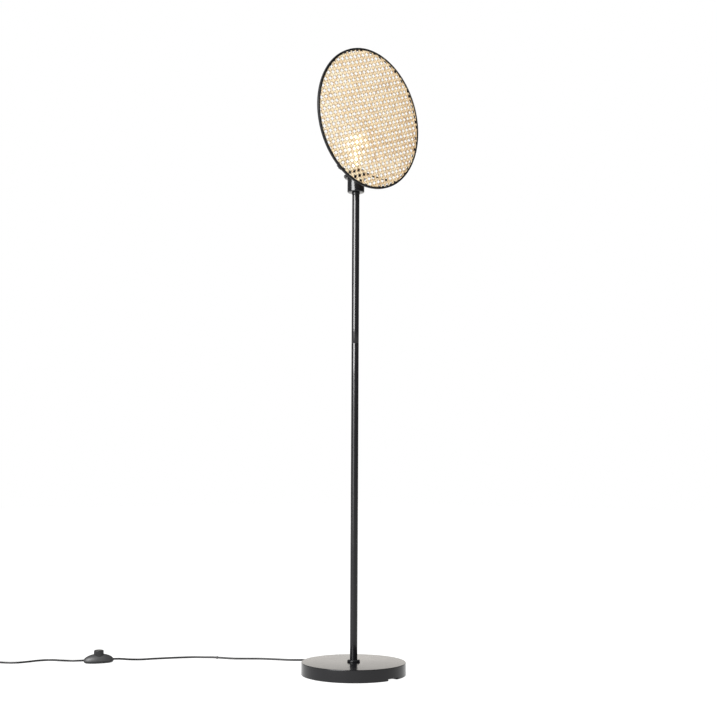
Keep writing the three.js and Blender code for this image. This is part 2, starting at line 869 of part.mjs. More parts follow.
// Filament carrier: a stem flared to the bulb's neck, with upright sticks between two plates
function bulbFilament() {
  const bottom = bulbNeckTop - bulbNeckDepth;
  const flareRadius = bulbNeckRadius - bulbGlassWall - seatGap;
  const low = bulbCentre - stickLength / 2;
  const high = bulbCentre + stickLength / 2;
  const plateRadius = stickCircle + stickRadius + stickPlateMargin;
  let body = rod(stemRadius, bottom, low, smallSides);
  body = body.add(rod(flareRadius, bottom, bottom + stemFlareThickness, poleSides));
  body = body.add(rod(plateRadius, low - stickPlateThickness, low, smallSides));
  body = body.add(rod(plateRadius, high, high + stickPlateThickness, smallSides));
  for (let i = 0; i < stickCount; i += 1) {
    const angle = 2 * Math.PI * i / stickCount;
    const length = stickLength + stickPlateThickness;
    const stick = new THREE.CylinderGeometry(stickRadius, stickRadius, length, smallSides / 2);
    stick.rotateX(Math.PI / 2);
    stick.translate(stickCircle * Math.cos(angle), stickCircle * Math.sin(angle), bulbCentre);
    body = body.add(solidOf(stick));
  }
  return piece('bulb_filament', body, warmFilament());
}

// Bracket arm: an eye round the holder, a strip to the front and the lower jaw of the clamp
function bracketArm() {
  const jawRadius = crossbarRadius + jawClearance + jawWall;
  const half = armWidth / 2;
  const eye = rod(eyeRadius, bracketBottom, bracketTop, 2 * smallSides);
  const strip = block(-half, half, -armEnd, 0, bracketBottom, bracketTop);
  const shell = crossRod(jawRadius, -half, half, -crossbarDistance, crossbarHeight, poleSides);
  const below = crossbarHeight - 2 * jawRadius;
  const lower = block(-armWidth, armWidth, -2 * crossbarDistance, 0, below, crossbarHeight);
  const holeRadius = holderRadius + eyeClearance;
  const holderHole = rod(holeRadius, bracketBottom - overrun, bracketTop + overrun, poleSides);
  const barHole = crossRod(
    crossbarRadius + jawClearance, -armWidth, armWidth, -crossbarDistance, crossbarHeight, poleSides);
  const screwHole = screwHoleThroughClamp();
  const whole = eye.add(strip).add(shell.intersect(lower));
  const arm = whole.subtract(holderHole).subtract(barHole).subtract(screwHole);
  return piece('bracket_arm', arm, blackEnamel());
}

function screwHoleThroughClamp() {
  const radius = clampScrewRadius + threadClearance;
  const height = 2 * (bracketThickness + capTabThickness);
  const hole = new THREE.CylinderGeometry(radius, radius, height, smallSides);
  return solidOf(hole.rotateX(Math.PI / 2).translate(0, -clampScrewDistance, bracketTop));
}

// Clamp cap: the upper jaw, with a tab that the screw pulls down on the arm
function clampCap() {
  const jawRadius = crossbarRadius + jawClearance + jawWall;
  const half = armWidth / 2;
  const tabBottom = bracketTop + seatGap;
  const tab = block(-half, half, -armEnd - jawWall, -capTabEnd, tabBottom, tabBottom + capTabThickness);
  const shell = crossRod(jawRadius, -half, half, -crossbarDistance, crossbarHeight, poleSides);
  const above = crossbarHeight + seatGap;
  const upper = block(-armWidth, armWidth, -2 * crossbarDistance, 0, above, crossbarHeight + 2 * jawRadius);
  const stepCut = block(-armWidth, armWidth, -armEnd - seatGap, 0, crossbarHeight - jawRadius, tabBottom);
  const barHole = crossRod(
    crossbarRadius + jawClearance, -armWidth, armWidth, -crossbarDistance, crossbarHeight, poleSides);
  const whole = tab.add(shell.intersect(upper)).subtract(stepCut);
  return piece('clamp_cap', whole.subtract(barHole).subtract(screwHoleThroughClamp()), blackEnamel());
}

function clampScrew() {
  const headBottom = bracketTop + seatGap + capTabThickness;
  const head = rod(clampScrewHeadRadius, headBottom, headBottom + clampScrewHeadHeight, smallSides);
  const end = bracketBottom - clampNutHeight - clampScrewEnd;
  const shank = rod(clampScrewRadius, end, headBottom + clampScrewHeadHeight / 2, smallSides);
  const screw = piece('clamp_screw', head.add(shank), zincSteel());
  screw.position.y = -clampScrewDistance;
  return screw;
}

function clampNut() {
  const solid = nut(clampNutAcrossFlats, clampScrewRadius, bracketBottom - clampNutHeight, bracketBottom);
  const mesh = piece('clamp_nut', solid, zincSteel());
  mesh.position.y = -clampScrewDistance;
  return mesh;
}

// The screen's pieces are drawn face on: X across, Y up, Z out of the screen's face.
// A rounded rim, with blind holes for the crossbar's screws in its back
function screenRing() {
  const inner = screenRadius - rimWidth;
  const front = screenFaceDistance;
  const rim = turned([
    [inner, screenBack],
    [screenRadius - rimEdge, screenBack],
    [screenRadius, screenBack + rimEdge],
    [screenRadius, front - rimEdge],
    [screenRadius - rimEdge, front],
    [inner, front],
  ], largeSides);
  let ring = rim;
  for (const side of [-1, 1]) {
    const depth = screenBack + rimScrewDepth + seatGap;
    const radius = rimScrewRadius + threadClearance;
    const hole = new THREE.CylinderGeometry(radius, radius, depth - tabBack, smallSides / 2);
    hole.rotateX(Math.PI / 2).translate(side * rimScrewX, -crossbarDrop, (depth + tabBack) / 2);
    ring = ring.subtract(solidOf(hole));
  }
  return piece('screen_ring', ring, blackEnamel());
}

function clampRing() {
  const outer = caneRadius;
  const front = caneBack - seatGap;
  const ring = tube(outer, outer - clampRingWidth, front - clampRingDepth, front, largeSides);
  return piece('clamp_ring', ring, blackEnamel());
}

// Cane sheet: a flat net, turned in its rim, with openings only where a whole one fits
function caneSheet() {
  const edge = new THREE.Path().absarc(0, 0, caneRadius, 0, 2 * Math.PI, false);
  const outlines = [edge.getSpacedPoints(largeSides).slice(0, largeSides)];
  const rowPitch = caneRowPitch * netShare;
  const columnPitch = caneColumnPitch * netShare;
  const halfRow = rowPitch * openingShare / 2;
  const halfColumn = columnPitch * openingShare / 2;
  const turn = THREE.MathUtils.degToRad(caneTurnDegrees);
  const middle = new THREE.Vector2(0, 0);
  const count = Math.ceil(caneRadius / Math.min(rowPitch, columnPitch));
  for (let i = -count; i <= count; i += 1) {
    for (let j = -count; j <= count; j += 1) {
      const corners = [[-1, -1], [-1, 1], [1, 1], [1, -1]].map(([across, along]) => {
        const x = i * rowPitch + across * halfRow;
        const y = j * columnPitch + along * halfColumn;
        return new THREE.Vector2(x, y).rotateAround(middle, turn);
      });
      if (corners.every((corner) => corner.length() < caneRadius - netEdge)) {
        outlines.push(corners);
      }
    }
  }
  const polygons = outlines.map((outline) => outline.map(({ x, y }) => [x, y]));
  const net = new wasm.CrossSection(polygons, 'EvenOdd').extrude(caneThickness);
  return piece('cane_sheet', net.translate([0, 0, caneBack]), naturalCane());
}

// Crossbar: a round rod with pressed flat ends that are screwed to the rim's back
function crossbar() {
  let bar = crossRod(
    crossbarRadius, -crossbarHalfLength, crossbarHalfLength, -crossbarDrop, crossbarDistance, smallSides);
  const inside = rod(screenRadius - tabEdge, tabBack - overrun, tabFront + overrun, largeSides);
  for (const side of [-1, 1]) {
    const from = side * (crossbarHalfLength - tabLap);
    const to = side * screenRadius;
    const low = -crossbarDrop - tabHeight / 2;
    const high = -crossbarDrop + tabHeight / 2;
    const tab = block(Math.min(from, to), Math.max(from, to), low, high, tabBack, tabFront);
    const radius = rimScrewRadius + threadClearance;
    const hole = new THREE.CylinderGeometry(radius, radius, 2 * tabThickness, smallSides / 2);
    hole.rotateX(Math.PI / 2).translate(side * rimScrewX, -crossbarDrop, (tabFront + tabBack) / 2);
    bar = bar.add(tab.intersect(inside)).subtract(solidOf(hole));
  }
  return piece('crossbar', bar, blackEnamel());
}

function crossbarScrew(name, side) {
  const headTop = tabBack - seatGap;
  const head = rod(rimScrewHeadRadius, headTop - rimScrewHeadHeight, headTop, smallSides);
  const tip = screenBack + rimScrewDepth;
  const shank = rod(rimScrewRadius, headTop - rimScrewHeadHeight / 2, tip, smallSides / 2);
  const screw = piece(name, head.add(shank), zincSteel());
  screw.position.set(side * rimScrewX, -crossbarDrop, 0);
  return screw;
}

function screen() {
  const group = new THREE.Group();
  group.position.z = screenCentreHeight;
  group.rotation.x = Math.PI / 2;
  group.add(
    screenRing(), clampRing(), caneSheet(), crossbar(),
    crossbarScrew('crossbar_screw_left', -1), crossbarScrew('crossbar_screw_right', 1),
  );
  return group;
}

// A cord's route as a smooth curve through its points
function routeOf(points) {
  return new THREE.CatmullRomCurve3(points.map((point) => new THREE.Vector3(...point)));
}

function freeCord(name, points) {
  const route = routeOf(points);
  const steps = Math.round(route.getLength() / cordStep);
  return piece(name, sweptTube(route, cordRadius, cordSides, steps), cordJacket());
}

// A short sleeve round the cord, part of the way to the switch
function cordBand() {
  const route = routeOf(cordToSwitch);
  const middle = route.getPointAt(bandShare);
  const along = route.getTangentAt(bandShare);
  const half = bandLength / 2;
  const sleeve = tube(bandRadius, cordRadius + bandClearance, -half, half, smallSides);
  const band = piece('cord_band', sleeve, greyPlastic());
  band.position.copy(middle);
  band.quaternion.setFromUnitVectors(new THREE.Vector3(0, 0, 1), along);
  return band;
}

// The foot switch's rounded outline, drawn in from its full size and then scaled
function switchOutline(inset, share) {
  const points = [];
  const power = 2 / switchOutlinePower;
  for (let i = 0; i < switchOutlineSides; i += 1) {
    const angle = 2 * Math.PI * (i + 0.5) / switchOutlineSides;
    const x = Math.sign(Math.cos(angle)) * Math.abs(Math.cos(angle)) ** power;
    const y = Math.sign(Math.sin(angle)) * Math.abs(Math.sin(angle)) ** power;
    points.push([x * share * (switchLength / 2 - inset), y * share * (switchWidth / 2 - inset)]);
  }
  return points;
}

// A closed stack of outlines, each at its height and inset, and scaled by its share
function stacked(levels) {
  const count = switchOutlineSides;
  const places = [];
  for (const [height, inset, share] of levels) {
    for (const [x, y] of switchOutline(inset, share)) {
      places.push(x, y, height);
    }
  }
  places.push(0, 0, levels[0][0], 0, 0, levels[levels.length - 1][0]);
  const bottom = levels.length * count;
  const index = [];
  for (let i = 0; i < count; i += 1) {
    const j = (i + 1) % count;
    for (let level = 0; level < levels.length - 1; level += 1) {
      const low = level * count;
      const high = low + count;
      index.push(low + i, low + j, high + j, low + i, high + j, high + i);
    }
    const last = (levels.length - 1) * count;
    index.push(j, i, bottom, last + i, last + j, bottom + 1);
  }
  const geometry = new THREE.BufferGeometry();
  geometry.setAttribute('position', new THREE.Float32BufferAttribute(places, 3));
  geometry.setIndex(index);
  return solidOf(geometry);
}

// Levels of the dome or the bowl between two heights, drawn in by an inset
function curvedLevels(shares, bottom, top, inset) {
  return shares.map(([rise, share]) => [bottom + (top - bottom) * rise, inset, share]);
}

// The two screws stand on opposite corners of the switch
function switchScrewPlaces() {
  return [[-switchScrewX, -switchScrewY], [switchScrewX, switchScrewY]];
}

function uprightAt(x, y, radius, bottom, top, sides) {
  const geometry = new THREE.CylinderGeometry(radius, radius, top - bottom, sides);
  return solidOf(geometry.rotateX(Math.PI / 2).translate(x, y, (bottom + top) / 2));
}

function cordEntries() {
  const radius = cordRadius + switchEntryClearance;
  return crossRod(radius, -switchLength, switchLength, 0, switchCordHeight, smallSides);
}

function switchBase() {
  const outer = stacked(curvedLevels(bowlShares, 0, switchBaseHeight, switchBaseInset));
  const inset = switchBaseInset + switchWall;
  const inner = stacked([[switchFloor, inset, trayFloorShare], [switchBaseHeight + overrun, inset, 1]]);
  let tray = outer.subtract(inner);
  for (const [x, y] of switchScrewPlaces()) {
    const boss = uprightAt(x, y, switchBossRadius, 0, switchBaseHeight, smallSides);
    tray = tray.add(boss.intersect(outer));
    const headRadius = switchScrewHeadRadius + switchScrewClearance;
    const sink = switchScrewSink + switchScrewHeadHeight + seatGap;
    tray = tray.subtract(uprightAt(x, y, headRadius, -overrun, sink, smallSides));
    const holeRadius = switchScrewRadius + switchScrewClearance;
    tray = tray.subtract(uprightAt(x, y, holeRadius, 0, switchBaseHeight + overrun, smallSides));
  }
  for (const side of [-1, 1]) {
    const from = side * clampBarDistance - clampBarLength / 2;
    const ribTop = switchCordHeight - cordRadius - seatGap;
    const half = clampRibWidth / 2;
    tray = tray.add(block(from, from + clampBarLength, -half, half, switchFloor / 2, ribTop));
  }
  return piece('switch_base', tray.subtract(cordEntries()), blackPlastic());
}

// Switch cover: a thin dome with the button's hole, the cord's entries and two screw posts
function switchCover() {
  const outer = stacked(curvedLevels(domeShares, switchCoverBottom, switchHeight, 0));
  const innerLevels = curvedLevels(domeShares, switchCoverBottom, ceilingHeight, switchWall);
  const inner = stacked([[switchCoverBottom - overrun, switchWall, 1], ...innerLevels]);
  let cover = outer.subtract(inner);
  for (const [x, y] of switchScrewPlaces()) {
    const post = uprightAt(x, y, switchPostRadius, switchCoverBottom, switchHeight, smallSides);
    cover = cover.add(post.intersect(outer));
    const holeTop = switchScrewSink + switchScrewLength + seatGap;
    const holeRadius = switchScrewRadius + switchScrewClearance;
    cover = cover.subtract(uprightAt(x, y, holeRadius, 0, holeTop, smallSides));
  }
  const buttonHole = rod(buttonRadius + buttonClearance, buttonBottom - overrun, buttonTop, 2 * smallSides);
  return piece('switch_cover', cover.subtract(buttonHole).subtract(cordEntries()), greyPlastic());
}

// Button: a hollow cap with two lugs that keep it under the cover
function switchButton() {
  const shoulder = buttonTop - buttonEdge;
  const capSolid = turned([
    [buttonRadius - buttonWall, buttonBottom],
    [buttonRadius, buttonBottom],
    ...arcPoints(buttonRadius - buttonEdge, shoulder, buttonEdge, 0, 90, edgeSteps),
    [0, buttonTop],
    [0, buttonTop - buttonCrown],
    [buttonRadius - buttonWall, buttonTop - buttonCrown],
  ], 2 * smallSides);
  const lugTop = ceilingHeight - lugSetDown;
  const half = lugWidth / 2;
  const lugs = block(-lugReach, lugReach, -half, half, lugTop - lugThickness, lugTop);
  const inside = rod(buttonRadius - buttonWall, buttonBottom - overrun, buttonTop - buttonCrown, smallSides);
  return piece('switch_button', capSolid.add(lugs.subtract(inside)), blackPlastic());
}

function switchSpring() {
  const top = buttonTop - buttonCrown - seatGap;
  const coil = tube(springRadius, springRadius - springWall, springBottom, top, smallSides);
  return piece('switch_spring', coil, zincSteel());
}

function switchMechanism() {
  const length = mechanismLength / 2;
  const width = mechanismWidth / 2;
  const body = block(-length, length, -width, width, switchFloor + seatGap, mechanismTop);
  const pegRadius = springRadius - springWall - seatGap;
  const peg = rod(pegRadius, mechanismTop / 2, mechanismTop + springPegHeight, smallSides);
  return piece('switch_mechanism', body.add(peg), whiteCeramic());
}

function cordClamp(name, side) {
  const from = side * clampBarDistance - clampBarLength / 2;
  const half = clampBarWidth / 2;
  const bottom = switchCordHeight + cordRadius + seatGap;
  const bar = block(from, from + clampBarLength, -half, half, bottom, bottom + clampBarHeight);
  return piece(name, bar, blackPlastic());
}

function switchScrew(name, x, y) {
  const headTop = switchScrewSink + switchScrewHeadHeight;
  const tip = switchScrewSink + switchScrewLength;
  const head = uprightAt(x, y, switchScrewHeadRadius, switchScrewSink, headTop, smallSides);
  const shankTop = headTop - switchScrewHeadHeight / 2;
  const shank = uprightAt(x, y, switchScrewRadius, shankTop, tip, smallSides / 2);
  return piece(name, head.add(shank), zincSteel());
}

function footSwitch() {
  const [left, right] = switchScrewPlaces();
  return placed(switchX, switchY, 0, switchDegrees, [
    switchBase(), switchCover(), switchButton(), switchSpring(), switchMechanism(),
    cordClamp('cord_clamp_left', -1), cordClamp('cord_clamp_right', 1),
    switchScrew('switch_screw_left', ...left), switchScrew('switch_screw_right', ...right),
  ]);
}

// The coil's centreline: inward on the floor, up one layer at the middle, and out again
function coilPoint(turns) {
  const half = coilTurns / 2;
  const radius = coilRadius - coilPitch * (half - Math.abs(turns - half));
  const climb = THREE.MathUtils.clamp((turns - half) / coilClimbShare + 0.5, 0, 1);
  const angle = THREE.MathUtils.degToRad(coilStartDegrees) + 2 * Math.PI * turns;
  const height = coilHeight + coilPitch * climb;
  return new THREE.Vector3(radius * Math.cos(angle), radius * Math.sin(angle), height);
}

// The coil's points, with a straight run of one cord diameter at each end
function coilPoints() {
  const steps = Math.round(coilTurns * coilStepsPerTurn);
  const points = [];
  for (let i = 0; i <= steps; i += 1) {
    points.push(coilPoint(coilTurns * i / steps));
  }
  const run = 2 * cordRadius;
  const first = coilHeading(0).multiplyScalar(-run).add(points[0]);
  const last = coilHeading(coilTurns).multiplyScalar(run).add(points[points.length - 1]);
  return [first, ...points, last];
}

// The level direction of the coil's cord at one of its ends
function coilHeading(turns) {
  const angle = THREE.MathUtils.degToRad(coilStartDegrees) + 2 * Math.PI * turns;
  return new THREE.Vector3(-Math.sin(angle), Math.cos(angle), 0);
}

// The least distance between the surfaces of turns that lie beside or on each other
function coilLeastGap() {
  const probes = Math.round(coilTurns * coilProbesPerTurn);
  const line = [];
  for (let i = 0; i <= probes; i += 1) {
    line.push(coilPoint(coilTurns * i / probes));
  }
  const apart = Math.round(coilProbesPerTurn / 2);
  let least = Infinity;
  for (let i = 0; i < line.length; i += 1) {
    for (let j = i + apart; j < line.length; j += 1) {
      least = Math.min(least, line[i].distanceTo(line[j]));
    }
  }
  return least - 2 * cordRadius;
}

function cordCoil() {
  const line = coilPoints();
  const up = new THREE.Vector3(0, 0, 1);
  const places = [];
  line.forEach((point, i) => {
    const before = line[Math.max(i - 1, 0)];
    const after = line[Math.min(i + 1, line.length - 1)];
    const along = after.clone().sub(before).normalize();
    const side = along.clone().cross(up).normalize();
    const top = side.clone().cross(along);
    for (let k = 0; k < coilSides; k += 1) {
      const angle = 2 * Math.PI * k / coilSides;
      const corner = point.clone().addScaledVector(side, cordRadius * Math.cos(angle));
      corner.addScaledVector(top, cordRadius * Math.sin(angle));
      places.push(corner.x, corner.y, corner.z);
    }
  });
  const index = [];
  const last = (line.length - 1) * coilSides;
  for (let i = 0; i < line.length - 1; i += 1) {
    for (let k = 0; k < coilSides; k += 1) {
      const next = (k + 1) % coilSides;
      const low = i * coilSides;
      const high = low + coilSides;
      index.push(low + k, low + next, high + next, low + k, high + next, high + k);
    }
  }
  for (let k = 1; k < coilSides - 1; k += 1) {
    index.push(0, k + 1, k, last, last + k, last + k + 1);
  }
  const geometry = new THREE.BufferGeometry();
  geometry.setAttribute('position', new THREE.Float32BufferAttribute(places, 3));
  geometry.setIndex(index);
  return piece('cord_coil', solidOf(geometry), cordJacket());
}

// Tie: a strap closed round all the turns of the coil
function coilTie() {
  const inner = coilRadius - coilPitch * coilTurns / 2 - cordRadius - tieClearance;
  const outer = coilRadius + cordRadius + tieClearance;
  const low = coilHeight - cordRadius - tieClearance;
  const high = coilHeight + coilPitch + cordRadius + tieClearance;
  const half = tieWidth / 2;
  const strap = block(
    inner - tieThickness, outer + tieThickness, -half, half, low - tieThickness, high + tieThickness);
  const inside = block(inner, outer, -tieWidth, tieWidth, low, high);
  return placed(0, 0, 0, tieDegrees, [piece('coil_tie', strap.subtract(inside), blackRubber())]);
}

// The end of the cord, on its way down from the coil to the plug
function plugCord() {
  const end = coilPoint(coilTurns);
  const heading = coilHeading(coilTurns);
  const start = end.clone().addScaledVector(heading, 2 * cordRadius + seatGap);
  const finishPoint = end.clone().addScaledVector(heading, 2 * cordRadius + plugTail);
  finishPoint.z = plugAxisHeight;
  const middle = start.clone().lerp(finishPoint, 0.5);
  const lead = start.clone().addScaledVector(heading, cordRadius);
  const settle = finishPoint.clone().addScaledVector(heading, -cordRadius);
  const route = new THREE.CatmullRomCurve3([start, lead, middle, settle, finishPoint]);
  const steps = 2 * Math.round(plugTail / cordStep) + 2;
  return piece('cord_coil_to_plug', sweptTube(route, cordRadius, cordSides, steps), cordJacket());
}

function plugRelief() {
  const points = [
    new THREE.Vector2(0, -plugReliefLength - seatGap),
    new THREE.Vector2(reliefTipRadius, -plugReliefLength - seatGap),
    new THREE.Vector2(plugReliefRadius, -seatGap),
    new THREE.Vector2(0, -seatGap),
  ];
  const geometry = new THREE.LatheGeometry(points, smallSides).rotateZ(-Math.PI / 2);
  return piece('plug_relief', solidOf(geometry), blackRubber());
}

// Plug body: a flat wedge that widens from the cord to the pins
function plugBody() {
  const side = plugTailShares.map(([along, across]) => [along * plugLength, across * plugWidth / 2]);
  const outline = [...side, ...side.map(([x, y]) => [x, -y]).reverse()];
  const shape = new THREE.Shape(outline.map(([x, y]) => new THREE.Vector2(x, y)));
  let body = plate(shape, -plugAxisHeight, plugAxisHeight);
  for (const half of [-1, 1]) {
    const from = plugLength - plugPinSeat - plugPinClearance;
    const radius = plugPinRadius + plugPinClearance;
    const y = half * plugPinSpacing / 2;
    body = body.subtract(crossRod(radius, from, plugLength + overrun, y, 0, smallSides));
  }
  return piece('plug_body', body, blackPlastic());
}

function plugPin(name, half) {
  const from = plugLength - plugPinSeat;
  const to = plugLength + plugPinLength;
  const pin = crossRod(plugPinRadius, from, to, half * plugPinSpacing / 2, 0, smallSides);
  return piece(name, pin, zincSteel());
}

function plug() {
  const end = coilPoint(coilTurns);
  const heading = coilHeading(coilTurns);
  const reach = 2 * cordRadius + plugTail + seatGap + plugReliefLength + seatGap;
  const degrees = THREE.MathUtils.radToDeg(Math.atan2(heading.y, heading.x));
  const x = end.x + heading.x * reach;
  const y = end.y + heading.y * reach;
  return placed(x, y, plugAxisHeight, degrees, [
    plugRelief(), plugBody(), plugPin('plug_pin_left', 1), plugPin('plug_pin_right', -1),
  ]);
}

function coilAndPlug() {
  console.log(`coil least gap ${coilLeastGap().toFixed(3)} mm`);
  return placed(coilX, coilY, 0, 0, [cordCoil(), coilTie(), plugCord(), plug()]);
}

const group = new THREE.Group();
group.add(
  baseCover(), baseWeight(), basePad(), baseWasher(), baseNut(), footNipple(), footCollar(),
  poleTube('pole_lower', baseHeight, seamHeight), poleTube('pole_upper', seamHeight, poleTop),
  poleBush('pole_foot_bush', baseHeight), poleBush('pole_bush_lower', seamHeight - bushLength),
  poleBush('pole_bush_upper', seamHeight), poleBush('pole_top_bush', poleTop - bushLength),
  jointNipple(), topNipple(), innerLead(), cordRelief(),
  holderFerrule(), holderCup(), cupNut(), holderBody(), terminalBlock(), screwShell(),
  centreContact(), shadeRing(),
  bulbGlass(), bulbCap(), bulbInsulator(), bulbTip(), bulbFilament(),
  bracketArm(), clampCap(), clampScrew(), clampNut(), screen(),
  freeCord('cord_base_to_switch', cordToSwitch), cordBand(), footSwitch(),
  freeCord('cord_switch_to_coil', cordToCoil), coilAndPlug(),
);

export default group;
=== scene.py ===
"""Looks of a floor lamp with a round woven cane screen in front of a bare bulb.

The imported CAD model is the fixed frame, and each visible piece is built over it.
Sizes are in millimetres, and a mesh is scaled to metres when its object is made.
The origin is on the floor under the pole, +Z is up and the screen faces -Y.
"""

import logging
import random
from dataclasses import dataclass
from enum import Enum
from math import (
    acos, asin, atan2, ceil, copysign, cos, exp, floor, pi, radians, sin, sqrt, tan, tau,
)
from typing import Callable, Sequence

import bmesh
import bpy
from mathutils import Matrix, Vector, noise

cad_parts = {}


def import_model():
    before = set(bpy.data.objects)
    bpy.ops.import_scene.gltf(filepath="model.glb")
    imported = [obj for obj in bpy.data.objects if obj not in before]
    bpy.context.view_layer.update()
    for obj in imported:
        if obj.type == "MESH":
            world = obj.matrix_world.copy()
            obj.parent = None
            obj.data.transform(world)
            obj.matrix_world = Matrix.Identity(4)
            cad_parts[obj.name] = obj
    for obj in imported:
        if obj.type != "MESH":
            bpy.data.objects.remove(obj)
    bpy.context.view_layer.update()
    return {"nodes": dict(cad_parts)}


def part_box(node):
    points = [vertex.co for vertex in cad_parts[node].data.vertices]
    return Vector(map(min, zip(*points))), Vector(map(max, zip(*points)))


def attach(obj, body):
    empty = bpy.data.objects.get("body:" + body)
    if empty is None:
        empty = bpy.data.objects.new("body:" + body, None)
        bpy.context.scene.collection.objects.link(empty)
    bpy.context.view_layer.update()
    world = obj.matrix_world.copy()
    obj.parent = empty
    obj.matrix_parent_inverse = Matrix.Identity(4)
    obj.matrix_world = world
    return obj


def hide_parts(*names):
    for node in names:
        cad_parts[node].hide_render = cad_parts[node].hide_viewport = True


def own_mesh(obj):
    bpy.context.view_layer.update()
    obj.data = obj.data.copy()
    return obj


MM = 0.001
TINY = 1e-6
WELD = 1e-7
SLEEVE_BORE = 2.55
WHITE = (1.0, 1.0, 1.0)
LOG = logging.getLogger("floor_lamp")

Point = tuple[float, float]
Colour = tuple[float, float, float]
Corner = tuple[float, float, float]
Thing = bpy.types.Object


class Slot(Enum):
    """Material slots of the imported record."""

    ENAMEL = "black_enamel"
    IRON = "cast_iron"
    RUBBER = "black_rubber"
    STEEL = "zinc_steel"
    PLASTIC = "black_plastic"
    GREY = "grey_plastic"
    CERAMIC = "white_ceramic"
    BRASS = "pale_brass"
    GLASS = "clear_glass"
    FILAMENT = "warm_filament"
    CANE = "natural_cane"
    CORD = "cord_jacket"


class Body(Enum):
    """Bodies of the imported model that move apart."""

    ROOT = "root"
    BRACKET = "bracket"
    SCREEN = "screen"
    BUTTON = "button"


class Family(Enum):
    """The four ways that cane strands run in the weave."""

    COLUMN = "column"
    ROW = "row"
    RISING = "rising"
    FALLING = "falling"


class Ink:
    """A shader socket that takes part in Python expressions."""

    def __init__(self, nodes: "Nodes", socket: bpy.types.NodeSocket) -> None:
        """Keeps the socket and the nodes that it belongs to."""
        self.nodes = nodes
        self.socket = socket

    def _math(self, operation: str, first: object, second: object) -> "Ink":
        """Adds one Math node, whose inputs are numbers or Inks."""
        return self.nodes.ink("ShaderNodeMath", {"operation": operation}, {0: first, 1: second})

    def __add__(self, other: object) -> "Ink":
        """Sum of two values."""
        return self._math("ADD", self, other)

    def __radd__(self, other: object) -> "Ink":
        """Sum with a number in front."""
        return self._math("ADD", other, self)

    def __sub__(self, other: object) -> "Ink":
        """Difference of two values."""
        return self._math("SUBTRACT", self, other)

    def __rsub__(self, other: object) -> "Ink":
        """Difference with a number in front."""
        return self._math("SUBTRACT", other, self)

    def __mul__(self, other: object) -> "Ink":
        """Product of two values."""
        return self._math("MULTIPLY", self, other)

    def __rmul__(self, other: object) -> "Ink":
        """Product with a number in front."""
        return self._math("MULTIPLY", other, self)

    def __pow__(self, other: object) -> "Ink":
        """Power of a value."""
        return self._math("POWER", self, other)

    def between(self, low: float, high: float) -> "Ink":
        """Smooth step from 0 at low to 1 at high.

        Args:
            low: Where the step starts.
            high: Where it ends.

        Returns:
            The share.
        """
        return self.nodes.ink(
            "ShaderNodeMapRange", {"interpolation_type": "SMOOTHSTEP"},
            {"Value": self, "From Min": low, "From Max": high},
        )


class Nodes:
    """The nodes of a material or a world."""

    def __init__(self, tree: bpy.types.NodeTree) -> None:
        """Empties the tree."""
        self.tree = tree
        tree.nodes.clear()

    def node(
        self, kind: str, settings: dict | None = None, inputs: dict | None = None
    ) -> bpy.types.Node:
        """Adds a node.

        Args:
            kind: The node's type.
            settings: Its properties, set first. Stops are the stops of a colour ramp.
            inputs: The values or links of its sockets, by name or place.

        Returns:
            The node.
        """
        made = self.tree.nodes.new(kind)
        for key, value in (settings or {}).items():
            if key == "stops":
                self._set_stops(made.color_ramp.elements, value)
            else:
                setattr(made, key, value)
        for key, value in (inputs or {}).items():
            socket = value.socket if isinstance(value, Ink) else value
            if isinstance(socket, bpy.types.NodeSocket):
                self.tree.links.new(socket, made.inputs[key])
            else:
                made.inputs[key].default_value = value
        return made

    def ink(self, kind: str, settings: dict, inputs: dict, output: int | str = 0) -> Ink:
        """Adds a node and gives one of its outputs."""
        return Ink(self, self.node(kind, settings, inputs).outputs[output])

    @staticmethod
    def _set_stops(
        elements: bpy.types.ColorRampElements, stops: Sequence[tuple[float, Colour]]
    ) -> None:
        """Sets the place and colour of each stop of a ramp, in order.

        Args:
            elements: The ramp's stops.
            stops: What they become.
        """
        while len(elements) < len(stops):
            elements.new(0.5)
        for element, (place, colour) in zip(elements, stops):
            element.position = place
            element.color = (*colour, 1.0)


